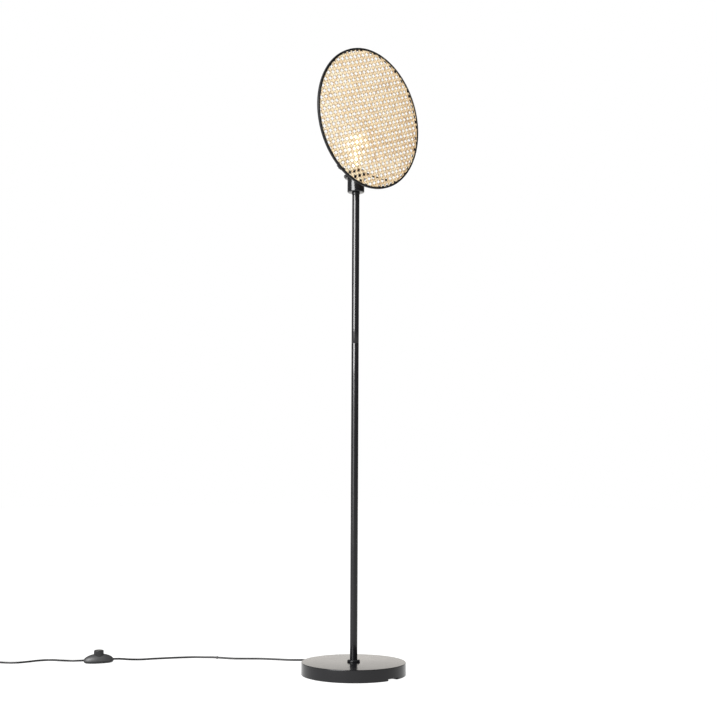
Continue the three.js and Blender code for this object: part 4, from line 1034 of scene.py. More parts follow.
@dataclass
class Cord:
    """The mains cord: base to foot switch, then on to its coil and plug."""

    shop: PaintShop
    radius: float = 2.5
    spacing: float = 3.0
    to_switch: tuple = (
        (97.9, 116.7, 8), (104.3, 124.3, 7.5), (113, 141, 4.8), (114, 158, 3.1), (107, 176, 2.6),
        (93, 195, 2.6), (75, 215, 2.6), (51, 237, 2.6), (26, 263, 2.6), (8, 293, 2.6),
        (-13, 326, 2.6), (-40, 353, 2.6), (-65, 377, 2.8), (-81, 401, 3.5), (-94, 425, 3.6),
        (-108, 447, 2.8), (-124, 466, 2.6), (-147, 481, 2.6), (-182, 499, 2.6), (-217, 515, 2.6),
        (-247, 526, 2.7), (-272, 534.5, 4.4), (-296.1, 543, 7.2), (-307.1, 547.7, 8),
        (-325.5, 555.7, 8),
    )
    to_coil: tuple = (
        (-369.5, 574.9, 8), (-387.9, 582.8, 8), (-403, 592.5, 8), (-411.5, 607, 7.5),
        (-414.5, 626, 6.2), (-413.5, 645, 4.4), (-414, 661, 3.2), (-424, 678, 2.6),
        (-447, 687, 2.6), (-474, 688, 2.6), (-500, 692, 2.6), (-519, 706, 2.6),
        (-535.1, 731.4, 2.7), (-546.8, 750.1, 3.4), (-550.3, 755.7, 3.8),
    )
    coil_place: Point = (-584.8, 740.5)
    coil_radius: float = 37.4
    coil_pitch: float = 5.45
    coil_turns: float = 5.378
    coil_start: float = 31.94
    coil_height: float = 3.8
    coil_steps: int = 48
    climb_share: float = 0.5
    plug_tail: float = 22.0
    plug_height: float = 6.85
    band_radius: float = 3.45
    band_length: float = 3.5
    band_share: float = 0.568

    def coil_point(self, turns: float) -> Vector:
        """A point on the coil's line: inward, up one layer, and out again.

        Args:
            turns: Turns from the coil's start.

        Returns:
            The point.
        """
        half = self.coil_turns / 2
        radius = self.coil_radius - self.coil_pitch * (half - abs(turns - half))
        climb = clamped((turns - half) / self.climb_share + 0.5)
        height = self.coil_height + self.coil_pitch * climb
        middle = Vector((*self.coil_place, 0.0))
        return middle + polar(radius, radians(self.coil_start) + tau * turns, height)

    def coil_end(self) -> tuple[Vector, Vector]:
        """Where the cord leaves the coil and the level way that it runs there."""
        angle = radians(self.coil_start) + tau * self.coil_turns
        return self.coil_point(self.coil_turns), Vector((-sin(angle), cos(angle), 0.0))

    def _plug_line(self) -> list[Vector]:
        """The last short run, from the coil down to the plug's sleeve.

        Returns:
            The run's points.
        """
        end, way = self.coil_end()
        start = end + way * 2 * self.radius
        low = start + way * self.plug_tail
        low.z = self.plug_height
        nudge = way * self.radius
        points = [start, start + nudge, (start + low) / 2, low - nudge, low]
        return smooth_route(points, self.spacing)

    def build(self) -> tuple[Thing, Thing, Thing]:
        """Makes both stretches and the band.

        Returns:
            The two stretches and the band.
        """
        first_line = smooth_route(self.to_switch, self.spacing)
        steps = round(self.coil_turns * self.coil_steps)
        coil = [self.coil_point(self.coil_turns * k / steps) for k in range(steps + 1)]
        second_line = [*smooth_route(self.to_coil, self.spacing), *coil, *self._plug_line()]
        first = self._tube("cord_to_switch", first_line)
        second = self._tube("cord_to_plug", second_line)
        self.shop.fit(first, Slot.CORD, "cord_base_to_switch")
        self.shop.fit(second, Slot.CORD, "cord_switch_to_coil", "cord_coil", "cord_coil_to_plug")
        return first, second, self._band(first_line)

    def declare(
        self, first: Thing, second: Thing, on_first: list[Thing], on_second: list[Thing]
    ) -> None:
        """Works out each stretch's length and thickness, and keeps neither.

        Args:
            first: The stretch from the base to the foot switch.
            second: The stretch from the foot switch to the plug.
            on_first: The pieces on the first; not used.
            on_second: The pieces on the second; not used.
        """
        for cord, route, end, lay, pieces in (
            (first, self.to_switch, "fitting", "loose", on_first),
            (second, self.to_coil, "plug", "coiled", on_second),
        ):
            points = [place.co.to_3d() for place in cord.data.splines[0].points]
            round(length_of(points), 3)
            2 * self.radius * MM

    def _tube(self, name: str, line: Sequence[Vector]) -> Thing:
        """A round cord along a line, as a curve of one open spline.

        Args:
            name: The piece's name.
            line: Its centreline.

        Returns:
            The cord.
        """
        curve = bpy.data.curves.new(name, "CURVE")
        curve.dimensions = "3D"
        curve.bevel_depth = self.radius * MM
        curve.bevel_resolution = 5
        curve.use_fill_caps = True
        spline = curve.splines.new("POLY")
        spline.points.add(len(line) - 1)
        for place, point in zip(spline.points, line):
            place.co = (*(point * MM), 1.0)
        spline.use_smooth = True
        return added(name, curve)

    def _band(self, line: Sequence[Vector]) -> Thing:
        """The small grey sleeve part of the way along.

        Args:
            line: The centreline that it sits on.

        Returns:
            The sleeve.
        """
        goal = length_of(line) * self.band_share
        index, run = 0, 0.0
        while run < goal:
            run += (line[index + 1] - line[index]).length
            index += 1
        along = (line[index + 1] - line[index - 1]).normalized()
        half, bore = self.band_length / 2, self.radius + 0.05
        ring = lathe([
            (bore, -half, 0.1), (self.band_radius, -half, 0.5), (self.band_radius, half, 0.5),
            (bore, half, 0.1),
        ], 5, 40)
        turn = along.to_track_quat("Z", "Y").to_matrix().to_4x4()
        where = Matrix.Translation(line[index]) @ turn
        return self.shop.make(ring.moved(where), "cord_sleeve", Slot.GREY, "cord_band")


@dataclass
class Base:
    """The round foot: a pressed cover over an iron weight, with the cord's outlet."""

    shop: PaintShop
    wall: float = 1.5
    edge: float = 1.4
    floor_gap: float = 1.0
    notch_degrees: float = -86.0
    notch_width: float = 36.0
    notch_height: float = 4.0
    outlet_degrees: float = 50.0
    outlet_height: float = 8.0
    outlet_radius: float = 4.3
    around: int = 300
    bore: float = 5.2
    relief_start: float = 118.8
    relief_tip: float = 151.8
    relief_ribs: int = 5

    def build(self) -> None:
        """Makes the cover, the collar and the cord's outlet."""
        self._cover()
        self._collar()
        self._outlet()

    def _lower_edge(self, angle: float, radius: float) -> float:
        """Height of the cover's lower edge at an angle round it.

        Args:
            angle: The angle in radians.
            radius: The cover's radius.

        Returns:
            The height.
        """
        off, side = (
            (angle - radians(middle) + pi) % tau - pi
            for middle in (self.notch_degrees, self.outlet_degrees)
        )
        if abs(side) * radius < self.outlet_radius:
            return self.outlet_height + sqrt(self.outlet_radius ** 2 - (abs(side) * radius) ** 2)
        notched = abs(sin(off)) * radius < self.notch_width / 2 and abs(off) < 1
        return self.floor_gap + (self.notch_height if notched else 0.0)

    def _angles(self, radius: float) -> list[float]:
        """Angles round the cover, closer together at the notch and the outlet.

        Args:
            radius: The cover's radius.

        Returns:
            The angles in radians, in order.
        """
        angles = {tau * k / self.around for k in range(self.around)}
        half = asin(self.notch_width / 2 / radius)
        for side in (-half, half):
            for nudge in (-0.0004, 0.0004):
                angles.add((radians(self.notch_degrees) + side + nudge) % tau)
        for k in range(-12, 13):
            share = self.outlet_radius / radius * sin(pi / 2 * k / 12) * 1.002
            angles.add((radians(self.outlet_degrees) + share) % tau)
        return sorted(angles)

    def _cover(self) -> None:
        """The pressed cover, with a rolled top edge, a notch and the cord's slot."""
        _, top, outer = Span.of("base_cover").round
        inner, under = outer - self.wall, top - self.wall
        crown = rounded([(self.bore, top, 0), (outer, top, self.edge), (outer, top / 2, 0)], 8)
        angles = self._angles(outer)
        rings = [[polar(radius, a, height) for a in angles] for radius, height in crown[:-1]]
        roll = crown[-2][1]
        foot = [(a, self._lower_edge(a, outer)) for a in angles]
        for share in (0.33, 0.66, 1.0):
            rings.append([polar(outer, a, roll + (low - roll) * share) for a, low in foot])
        rings.append([polar(inner, a, low) for a, low in foot])
        rings += [[polar(radius, a, under) for a in angles] for radius in (inner, self.bore)]
        cover = Blank().stack(rings, loop=True)
        self.shop.make(cover, "foot_cover", Slot.ENAMEL, "base_cover", sharp=28.0)

    def _collar(self) -> None:
        """The rounded ring where the pole stands on the cover."""
        low, high, wide = Span.of("foot_collar").round
        bore = Span.of("pole_lower").radius + 0.12
        collar = lathe([
            (bore, low + 0.02, 0), (wide - 0.5, low + 0.02, 0.2), (wide, low + 0.7, 0.5),
            (wide, high - 2.4, 1.2), (wide - 2.6, high, 1.8), (bore, high, 0.3),
        ], 6, 96)
        self.shop.make(collar, "pole_collar", Slot.ENAMEL, "foot_collar")

    def _outlet(self) -> None:
        """The cord's ribbed rubber sleeve."""
        collar = Span.of("base_cover").radius + 0.4
        back, tip = self.relief_start, self.relief_tip
        profile: list[Corner] = [
            (0, back, 0), (4.6, back, 0.4), (4.6, back + 4.0, 0.3), (3.9, back + 4.0, 0.2),
            (3.9, collar, 0.2), (4.9, collar, 0.4), (4.9, collar + 4.0, 0.5),
        ]
        start, end = collar + 4.8, tip - 3.0
        step = (end - start) / self.relief_ribs
        for k in range(self.relief_ribs):
            here, wide = start + step * k, 4.45 - k / self.relief_ribs
            profile += [
                (wide - 0.75, here, 0.15), (wide - 0.75, here + step * 0.3, 0.15),
                (wide, here + step * 0.36, 0.2), (wide - 0.12, here + step * 0.96, 0.2),
            ]
        profile += [
            (3.2, end + 0.2, 0.2), (3.1, tip, 0.4), (SLEEVE_BORE, tip, 0.2),
            (SLEEVE_BORE, tip - 1.5, 0), (0, tip - 1.5, 0),
        ]
        lay = spin(radians(self.outlet_degrees), "Z") @ shift(0, 0, self.outlet_height)
        outlet = lathe(profile, 3, 40).moved(lay @ spin(pi / 2, "Y"))
        self.shop.make(outlet, "cord_outlet", Slot.RUBBER, "cord_relief")


@dataclass
class Pole:
    """The two lengths of the pole, screwed together at a fine seam."""

    shop: PaintShop
    wall: float = 1.2
    chamfer: float = 0.5
    around: int = 72
    rows: int = 10

    def build(self) -> None:
        """Makes both lengths of tube, with broken edges."""
        for node, name in (("pole_lower", "pole_foot_half"), ("pole_upper", "pole_top_half")):
            low, high, outer = Span.of(node).round
            cut, inner = self.chamfer, outer - self.wall
            profile = [
                (inner, low), (outer - cut, low), (outer - cut * 0.3, low + cut * 0.3),
                *[(outer, rise) for rise in rises(low + cut, high - cut, self.rows)],
                (outer - cut * 0.3, high - cut * 0.3), (outer - cut, high), (inner, high),
            ]
            self.shop.make(turned(profile, self.around), name, Slot.ENAMEL, node, sharp=40.0)


@dataclass
class Holder:
    """The lamp holder: ferrule, cup, threaded body, shade ring and screw shell."""

    shop: PaintShop
    bore: float = 5.2
    cup_wall: float = 1.2
    cup_floor: float = 1.5
    cup_edge: float = 2.0
    mouth_radius: float = 15.3
    thread_pitch: float = 3.0
    thread_depth: float = 0.5
    thread_row: float = 0.35
    ring_grips: int = 36
    grip_depth: float = 0.45
    shell_wall: float = 0.25
    shell_pitch: float = 3.6
    shell_depth: float = 0.45
    shell_rows: int = 90
    around: int = 108

    def build(self) -> None:
        """Makes the holder's pieces that show."""
        self._ferrule_and_cup()
        self._body()
        self._shade_ring()
        self._shell()

    def _ferrule_and_cup(self) -> None:
        """The small ring on the pole and the drawn cup that hides the holder's foot."""
        low, high, wide = Span.of("holder_ferrule").round
        ferrule = lathe([
            (self.bore, low, 0), (wide, low, 0.7), (wide, low + 2.2, 0.3),
            (wide - 0.5, low + 2.5, 0.2), (wide, low + 2.8, 0.3), (wide, high, 0.7),
            (self.bore, high, 0),
        ], 4, 72)
        self.shop.make(ferrule, "pole_ferrule", Slot.ENAMEL, "holder_ferrule")
        low, high, wide = Span.of("holder_cup").round
        inner, floor_top = wide - self.cup_wall, low + self.cup_floor
        cup = lathe([
            (self.bore, low, 0), (wide, low, self.cup_edge), (wide, high, 0.45),
            (inner, high, 0.45), (inner, floor_top, 1.2), (self.bore, floor_top, 0),
        ], 8, self.around)
        self.shop.make(cup, "drawn_cup", Slot.ENAMEL, "holder_cup")

    def _body(self) -> None:
        """The moulded body, threaded for the shade ring above the cup."""
        low, high, wide = Span.of("holder_body").round
        start, end = Span.of("shade_ring").bottom, high - 6.0

        def shaped(radius: float, height: float, angle: float) -> float:
            """The outside with the thread's ridge and a rounded lip.

            Args:
                radius: The profile's radius.
                height: The height.
                angle: The angle.

            Returns:
                The radius there.
            """
            if radius < wide:
                return radius
            ramp = clamped((height - start + 1.5) / 1.5) * clamped((end - height) / 1.5)
            cut = self.thread_depth * groove(angle, height - low, self.thread_pitch) * ramp
            return wide - cut - max(0.0, 1.2 - (high - height)) ** 2 * 0.6

        rows = max(4, round((high - low) / self.thread_row))
        outside = [(wide, rise) for rise in rises(low, high, rows)]
        profile = [(self.mouth_radius, low), *outside, (self.mouth_radius, high)]
        body = turned(profile, self.around, shaped)
        self.shop.make(body, "holder_shell", Slot.PLASTIC, "holder_body", sharp=50.0)

    def _shade_ring(self) -> None:
        """The ring that screws down on the bracket, with grips round its edge."""
        span = Span.of("shade_ring")
        low, high, wide = span.bottom, span.top, span.half_depth
        bore = Span.of("holder_body").radius + 0.15
        profile = rounded([
            (bore, low, 0.2), (wide - 3.0, low, 0.4), (wide, low + 0.5, 0.7),
            (wide, high - 0.5, 0.7), (wide - 4.0, high, 0.5), (bore, high, 0.3),
        ], 4)

        def shaped(radius: float, height: float, angle: float) -> float:
            """The outside with its grips, which fade out inward."""
            grip = max(0.0, cos(self.ring_grips * angle)) * self.grip_depth
            return radius - grip * clamped((radius - wide + 2.5) / 2.5)

        ring = turned(profile, 8 * self.ring_grips, shaped)
        self.shop.make(ring, "gripped_shade_ring", Slot.PLASTIC, "shade_ring", sharp=50.0)

    def _shell(self) -> None:
        """The rolled brass screw shell."""
        low, high, wide = Span.of("screw_shell").round
        heights = rises(low, high, self.shell_rows)
        profile = [(wide, rise) for rise in heights]
        profile += [(wide - self.shell_wall, rise) for rise in reversed(heights)]

        def shaped(radius: float, height: float, angle: float) -> float:
            """The wall with its rolled thread."""
            return radius - self.shell_depth * groove(angle, height - low, self.shell_pitch)

        shell = turned(profile, self.around, shaped)
        self.shop.make(shell, "rolled_screw_shell", Slot.BRASS, "screw_shell", sharp=60.0)


@dataclass
class Bulb:
    """The clear round bulb, with light sticks on a glass stem."""

    shop: PaintShop
    radius: float = 30.0
    wall: float = 0.7
    neck_radius: float = 12.3
    neck_low: float = 1237.6
    neck_high: float = 1241.6
    shoulder_degrees: float = -40.0
    cap_pitch: float = 3.6
    cap_thread: float = 0.9
    cap_foot: float = 5.4
    cap_rows: int = 80
    stick_circle: float = 5.0
    stick_radius: float = 0.9
    stick_half: float = 18.0
    stick_count: int = 4
    around: int = 96
    light_watts: float = 0.3
    light_tint: Colour = (1.0, 0.82, 0.58)

    def build(self) -> None:
        """Makes the glass, the cap, the sticks and their light."""
        centre = Span.of("bulb_glass").top - self.radius
        data = bpy.data.lights.new("bulb_light", "POINT")
        data.energy, data.color, data.shadow_soft_size = self.light_watts, self.light_tint, 0.02
        added("bulb_light", data).location = (0.0, 0.0, centre * MM)
        walls = [*self._outline(centre, 0.0), *reversed(self._outline(centre, self.wall))]
        glass = turned(walls, self.around)
        self.shop.make(glass, "blown_glass", Slot.GLASS, "bulb_glass", sharp=60.0)
        self._cap()
        self._sticks(centre)

    def _outline(self, centre: float, inset: float) -> list[Point]:
        """The glass from its crown to its neck, drawn in by an inset.

        Args:
            centre: Height of the round part's middle.
            inset: How far inside the outer face.

        Returns:
            Points of radius and height.
        """
        radius = self.radius - inset
        points = [(0.0, centre + radius)]
        for k in range(1, 33):
            angle = radians(90 + (self.shoulder_degrees - 90) * k / 32)
            points.append((radius * cos(angle), centre + radius * sin(angle)))
        wide, high = points[-1]
        narrow, drop = self.neck_radius - inset, high - self.neck_high
        lean = drop * tan(radians(-self.shoulder_degrees)) * 0.6
        for k in range(1, 17):
            t = k / 16
            bend = wide * (2 * t ** 3 - 3 * t ** 2 + 1) + narrow * (3 * t ** 2 - 2 * t ** 3)
            points.append((bend - lean * (t ** 3 - 2 * t ** 2 + t), high - drop * t))
        return [*points, (narrow, self.neck_low)]

    def _cap(self) -> None:
        """The rolled screw cap."""
        low, high, wide = Span.of("bulb_cap").round
        foot, inner = low + self.cap_foot, wide - 1.0
        profile = [(9.6, low + 2.1), (11.4, low + 3.2), (12.4, low + 4.2)]
        profile += [(wide, rise) for rise in rises(foot, high, self.cap_rows)]
        profile += [(inner, high), (inner, low + 6.0), (9.6, low + 2.8)]

        def shaped(radius: float, height: float, angle: float) -> float:
            """The outside with its rolled thread, which fades out at both ends.

            Args:
                radius: The profile's radius.
                height: The height.
                angle: The angle.

            Returns:
                The radius there.
            """
            if radius < wide:
                return radius
            ease = min((height - foot) / 2, 1) * clamped((high - 4.0 - height) / 2)
            return wide - self.cap_thread * groove(angle, height - low, self.cap_pitch) * ease

        cap = turned(profile, self.around, shaped)
        self.shop.make(cap, "rolled_cap", Slot.STEEL, "bulb_cap", sharp=60.0)

    def _sticks(self, centre: float) -> None:
        """The stem with its flared foot and the upright light sticks.

        Args:
            centre: Height of the round part's middle.
        """
        low, high, wide = Span.of("bulb_filament").round
        half, thin = self.stick_half, self.stick_radius
        under, over = centre - half, centre + half
        blank = lathe([
            (0, low, 0), (wide, low, 0.3), (wide * 0.9, low + 1.0, 0.5), (4.4, low + 6.0, 3.0),
            (3.0, low + 14.0, 4.0), (2.6, under - 3.0, 1.0), (3.4, under - 1.2, 0.4),
            (5.9, under - 0.9, 0.3), (5.9, under, 0.3), (0.8, under + 0.3, 0.3),
            (0.7, over - 0.3, 0.3), (5.9, over, 0.3), (5.9, high, 0.3), (0, high, 0),
        ], 4, 40)
        stick = lathe([(0, -half, 0), (thin, -half, 0.4), (thin, half, 0.4), (0, half, 0)], 4, 16)
        for k in range(self.stick_count):
            where = Matrix.Translation(polar(self.stick_circle, tau * k / self.stick_count, centre))
            blank.join(stick, where)
        self.shop.make(blank, "light_sticks", Slot.FILAMENT, "bulb_filament", sharp=40.0)


@dataclass
class Bracket:
    """The bracket that carries the screen: an eye, an arm and a clamp on the crossbar."""

    shop: PaintShop
    eye_hole: float = 19.9
    strip_thickness: float = 2.5
    arm_width: float = 14.0
    arm_end: float = 38.5
    bar_distance: float = 43.0
    bar_height: float = 1211.0
    jaw_outer: float = 5.0
    jaw_inner: float = 2.7
    tab_start: float = 31.3
    tab_thickness: float = 2.2
    screw_distance: float = 34.5
    screw_hole: float = 1.7
    head_height: float = 2.0
    screw_shank: float = 1.45
    screw_pitch: float = 0.7

    def build(self) -> None:
        """Makes the arm, the cap and their screw."""
        bolt = flat_circle(self.screw_hole, 20, -self.screw_distance)
        self._arm(bolt)
        self._cap(bolt)
        span = Span.of("clamp_screw")
        head = self.head_height
        length = span.top - span.bottom - head
        screw = screw_blank(span.radius, head, self.screw_shank, length, self.screw_pitch)
        where = shift(0, -self.screw_distance, span.top - head)
        self.shop.make(screw.moved(where), "clamp_bolt", Slot.STEEL, "clamp_screw", Body.BRACKET)

    def _jaw(self, start: float, end: float) -> Blank:
        """Part of a tube round the crossbar, between two angles in degrees.

        Args:
            start: Where it starts.
            end: Where it ends.

        Returns:
            The jaw.
        """
        turns = [radians(angle) for angle in rises(start, end, 24)]
        outline = [(self.jaw_outer * cos(a), self.jaw_outer * sin(a)) for a in turns]
        outline += [(self.jaw_inner * cos(a), self.jaw_inner * sin(a)) for a in reversed(turns)]
        lay = shift(0, -self.bar_distance, self.bar_height) @ Matrix((
            (0, 0, 1, 0), (1, 0, 0, 0), (0, 1, 0, 0), (0, 0, 0, 1),
        ))
        return plate([outline], -self.arm_width / 2, self.arm_width / 2, 0.25).moved(lay)

    def _arm(self, bolt: list[Point]) -> None:
        """The eye and strip, with the lower jaw at its end.

        Args:
            bolt: Outline of the screw's hole.
        """
        eye = Span.of("bracket_arm").high.y
        ring_seat = Span.of("shade_ring").bottom - 0.3
        half, steps = self.arm_width / 2, 72
        side = asin(half / eye)
        turns = [-pi / 2 + side + (tau - 2 * side) * k / steps for k in range(steps + 1)]
        neck = -eye * cos(side) - 1.5
        outline = [(eye * cos(a), eye * sin(a)) for a in turns]
        outline += [(-half, neck), (-half, -self.arm_end), (half, -self.arm_end), (half, neck)]
        hole = list(reversed(flat_circle(self.eye_hole, 72)))
        top = min(ring_seat, Span.of("clamp_cap").top)
        blank = plate([outline, hole, bolt], ring_seat - self.strip_thickness, top, 0.3)
        blank.join(self._jaw(180.0, 360.0))
        self.shop.make(blank, "bracket_strip", Slot.ENAMEL, "bracket_arm", Body.BRACKET)

    def _cap(self, bolt: list[Point]) -> None:
        """The upper jaw with the tab that the screw holds down.

        Args:
            bolt: Outline of the screw's hole.
        """
        half, low = self.arm_width / 2, Span.of("shade_ring").bottom
        reach = self.bar_distance - self.jaw_inner - 0.4
        outline = rounded([
            (-half, -self.tab_start, 1.5), (-half, -reach, 0.2), (half, -reach, 0.2),
            (half, -self.tab_start, 1.5),
        ], 4)
        blank = plate([outline, bolt], low, low + self.tab_thickness, 0.25)
        blank.join(self._jaw(4.0, 176.0))
        self.shop.make(blank, "bracket_cap", Slot.ENAMEL, "clamp_cap", Body.BRACKET)


def screw_blank(
    head_radius: float, head_height: float, shank_radius: float, length: float, pitch: float
) -> Blank:
    """A pan-headed screw with a cross slot, its head upward from zero.

    Args:
        head_radius: Radius of the head.
        head_height: Height of the head.
        shank_radius: Radius over the thread.
        length: Length under the head.
        pitch: Distance between thread turns.

    Returns:
        The screw.
    """
    steps, thread = 48, 0.22
    slot, slot_end, depth = head_radius * 0.16, head_radius * 0.58, head_height * 0.45
    rings = []
    for share, drop in (
        (0.0, 0.0), (0.2, 0.0), (0.45, 0.0), (0.62, 0.02), (0.8, 0.12), (0.93, 0.35),
        (1.0, 0.7), (1.0, 1.0),
    ):
        ring = circle(head_radius * share, head_height * (1 - drop), steps)
        for point in ring:
            near, far = sorted((abs(point.x), abs(point.y)))
            if near < slot and far < slot_end:
                point.z -= depth
        rings.append(ring)
    rows = max(2, round(length / pitch * 6))
    rings.append(circle(shank_radius, 0.0, steps))
    for row in range(1, rows):
        rise = -length * row / rows
        turns = [k / steps for k in range(steps)]
        rings.append([
            polar(shank_radius - thread * abs(2 * ((rise / pitch + t) % 1.0) - 1), tau * t, rise)
            for t in turns
        ])
    rings.append(circle(shank_radius * 0.6, -length, steps))
    return Blank().stack(rings)


@dataclass
class Screen:
    """The round cane screen: rim, weave, clamp ring, crossbar and its screws.

    Places in the weave are counted in pitches from an opening's middle: s along the rows and
    t along the columns.
    """

    shop: PaintShop
    radius: float = 175.0
    rim_width: float = 4.5
    rim_front: float = 51.0
    rim_back: float = 45.0
    ring_span: Point = (167.7, 170.2)
    ring_depths: Point = (46.2, 48.6)
    cane_depth: float = 49.7
    cane_reach: float = 170.15
    turn_degrees: float = 21.06
    row_pitch: float = 14.87
    column_pitch: float = 13.43
    pair_half_gap: float = 1.44
    strand_width: float = 2.6
    slant_width: float = 2.8
    strand_thickness: float = 0.42
    plain_rise: float = 0.2
    slant_rise: float = 0.6
    step: float = 1.9
    wobble: float = 0.28
    column_phase: float = 0.5
    bow: Point = (9.3, 2.2)
    shadow_reach: float = 0.24
    # fade is painted shade across the sheet: the weave's tone darkens toward +x, away from the key
    # light on the left.
    fade: float = 0.36
    seed: int = 20
    bar_radius: float = 2.5
    bar_depth: float = 43.0
    bar_steps: int = 32
    press_start: float = 16.0
    press_full: float = 7.5
    tab_inset: float = 0.8
    screw_head: float = 1.5
    screw_shank: float = 1.2
    screw_pitch: float = 0.6

    def __post_init__(self) -> None:
        """Works out the screen's middle and the weave's axes."""
        self.centre = Span.of("screen_ring").bottom + self.radius
        self.upright = shift(0, 0, self.centre) @ spin(pi / 2, "X")
        turn = radians(self.turn_degrees)
        self.row_axis = Vector((cos(turn), sin(turn)))
        self.column_axis = Vector((-sin(turn), cos(turn)))

    def build(self) -> None:
        """Makes all the screen's pieces."""
        inner, outer, back, front = (
            self.radius - self.rim_width, self.radius, self.rim_back, self.rim_front
        )
        rim = lathe([
            (inner, back, 0.3), (outer, back, 1.0), (outer, front, 1.0), (inner, front, 0.5)
        ], 6, 288)
        self.shop.dip(self._add(rim, "rolled_rim", Slot.ENAMEL, "screen_ring"), self.shop.satin)
        (inner, outer), (back, front) = self.ring_span, self.ring_depths
        ring = lathe([
            (inner, back, 0.4), (outer, back, 0.3), (outer, front, 0.3), (inner, front, 0.4)
        ], 3, 240)
        self._add(ring, "weave_ring", Slot.ENAMEL, "clamp_ring")
        self._weave()
        self._crossbar()
        self._screw("left", -1)
        self._screw("right", 1)

    def _add(self, blank: Blank, name: str, slot: Slot, node: str, sharp: float = 32.0) -> Thing:
        """Stands a piece up that was made lying flat, and fits it to the screen's body."""
        return self.shop.make(blank.moved(self.upright), name, slot, node, Body.SCREEN, sharp)

    def _families(self) -> dict[Family, tuple[Vector, list[tuple[Vector, int]]]]:
        """Direction of each family, with a point on each strand and its number.

        Returns:
            The direction, and the points with their numbers.
        """
        row, column = self.row_axis * self.row_pitch, self.column_axis * self.column_pitch
        count = ceil(self.radius / self.column_pitch) + 2
        phase = column * self.column_phase
        pairs = [(i, side) for i in range(-count, count + 1) for side in (0, 1)]

        def paired(pitch: Vector) -> list[tuple[Vector, int]]:
            """Starts of the strands that run in pairs, a pitch apart.

            Args:
                pitch: From one pair to the next.

            Returns:
                A point on each strand and its number.
            """
            gap = self.pair_half_gap / pitch.length
            return [
                (phase + pitch * (i + 0.5 + (2 * side - 1) * gap), 2 * i + side)
                for i, side in pairs
            ]

        slanted = [(phase + row * (i + 0.5), i) for i in range(-2 * count, 2 * count + 1)]
        return {
            Family.COLUMN: (self.column_axis, paired(row)),
            Family.ROW: (self.row_axis, paired(column)),
            Family.RISING: ((row + column).normalized(), slanted),
            Family.FALLING: ((row - column).normalized(), slanted),
        }

    def _lift(self, family: Family, number: int, s: float, t: float) -> float:
        """How far a strand stands in front of the weave's middle.

        Args:
            family: The way that it runs.
            number: Its number in its family.
            s: Place along the rows.
            t: Place along the columns.

        Returns:
            The offset toward the front.
        """
        if family in (Family.RISING, Family.FALLING):
            sign = -1 if family is Family.RISING else 1
            return sign * self.slant_rise * cos(tau * s)
        column = family is Family.COLUMN
        place, pitch = (t, self.column_pitch) if column else (s, self.row_pitch)
        half = self.pair_half_gap / pitch
        cell = floor(place)
        local = place - cell - 0.5
        sign = 1 if (number + 2 * cell) % 2 == (0 if column else 1) else -1
        if abs(local) <= half:
            wave = -sin(pi / 2 * local / half)
        else:
            wave = -copysign(sin(pi / 2 * (0.5 - abs(local)) / (0.5 - half)), local)
        return self.plain_rise * sign * wave

    def _painted_shade(self, family: Family, lift: float, s: float, t: float) -> float:
        """How much a strand lies in its neighbours' shade.

        Args:
            family: The way that it runs.
            lift: How far it stands in front of the weave's middle.
            s: Place along the rows.
            t: Place along the columns.

        Returns:
            0 in the open to 1 where a neighbour crosses close in front.
        """
        if family in (Family.RISING, Family.FALLING):
            return clamped((0.5 - lift) / 0.75)
        place = t if family is Family.COLUMN else s
        return exp(-((place - round(place)) / self.shadow_reach) ** 2)

    def _strand(
        self, blank: Blank, facts: list, family: Family, way: Vector, start: Vector, number: int,
        chance: random.Random,
    ) -> None:
        """Adds one strand, from rim to rim.

        Args:
            blank: The weave so far.
            facts: Tone, length along, place across and painted shade (depth), for each point so
                far.
            family: The way that it runs.
            way: Its direction.
            start: A point on it.
            number: Its number in its family.
            chance: Where its small differences come from.
        """
        side = Vector((-way.y, way.x))
        off = start.dot(side)
        reach, bow = self.cane_reach, Vector(self.bow)
        longest = reach + bow.length
        if abs(off) > longest:
            return
        half = sqrt(longest ** 2 - off ** 2)
        slanted = family in (Family.RISING, Family.FALLING)
        width = (self.slant_width if slanted else self.strand_width) * chance.uniform(0.92, 1.07)
        tone, shift_along = chance.random(), chance.uniform(0, 4000)
        shape = ((-0.5, -0.12), (-0.34, 0.34), (0.0, 0.5), (0.34, 0.34), (0.5, -0.12), (0.0, -0.5))
        rings, notes = [], []
        for place in rises(-half, half, max(2, round(2 * half / self.step))):
            swerve = Vector((shift_along + place / 26.0, number * 1.7, 0.3))
            base = side * (off + self.wobble * noise.noise(swerve)) + way * place
            s = base.dot(self.row_axis) / self.row_pitch
            t = base.dot(self.column_axis) / self.column_pitch - self.column_phase
            lift = self._lift(family, number, s, t)
            # Painted shade from the neighbours that cross in front, kept with each point for the
            # cane's colour.
            depth = self._painted_shade(family, lift, s, t)
            swell = noise.noise(Vector((shift_along - place / 9.0, 4.1, number)))
            breadth = width * (1 + 0.06 * swell)
            base += bow * (1 - base.length_squared / reach ** 2)
            if base.length > reach + self.step:
                continue
            if base.length > reach - 0.1:
                base = base.normalized() * (reach - 0.1)
            ring = []
            for across, up in shape:
                flat = base + side * (across * breadth)
                if flat.length > reach:
                    flat = flat.normalized() * reach
                height = self.cane_depth + lift + up * self.strand_thickness
                ring.append(Vector((flat.x, flat.y, height)))
                # Strand tone, with painted shade that grows toward +x, away from the key light on
                # the left.
                shade = 1.3 * tone - 0.15 + self.fade * flat.x / reach
                notes.append((shade, (shift_along + place) * MM, 2 * across, depth))
            rings.append(ring)
        if len(rings) > 2:
            blank.stack(rings)
            facts += notes

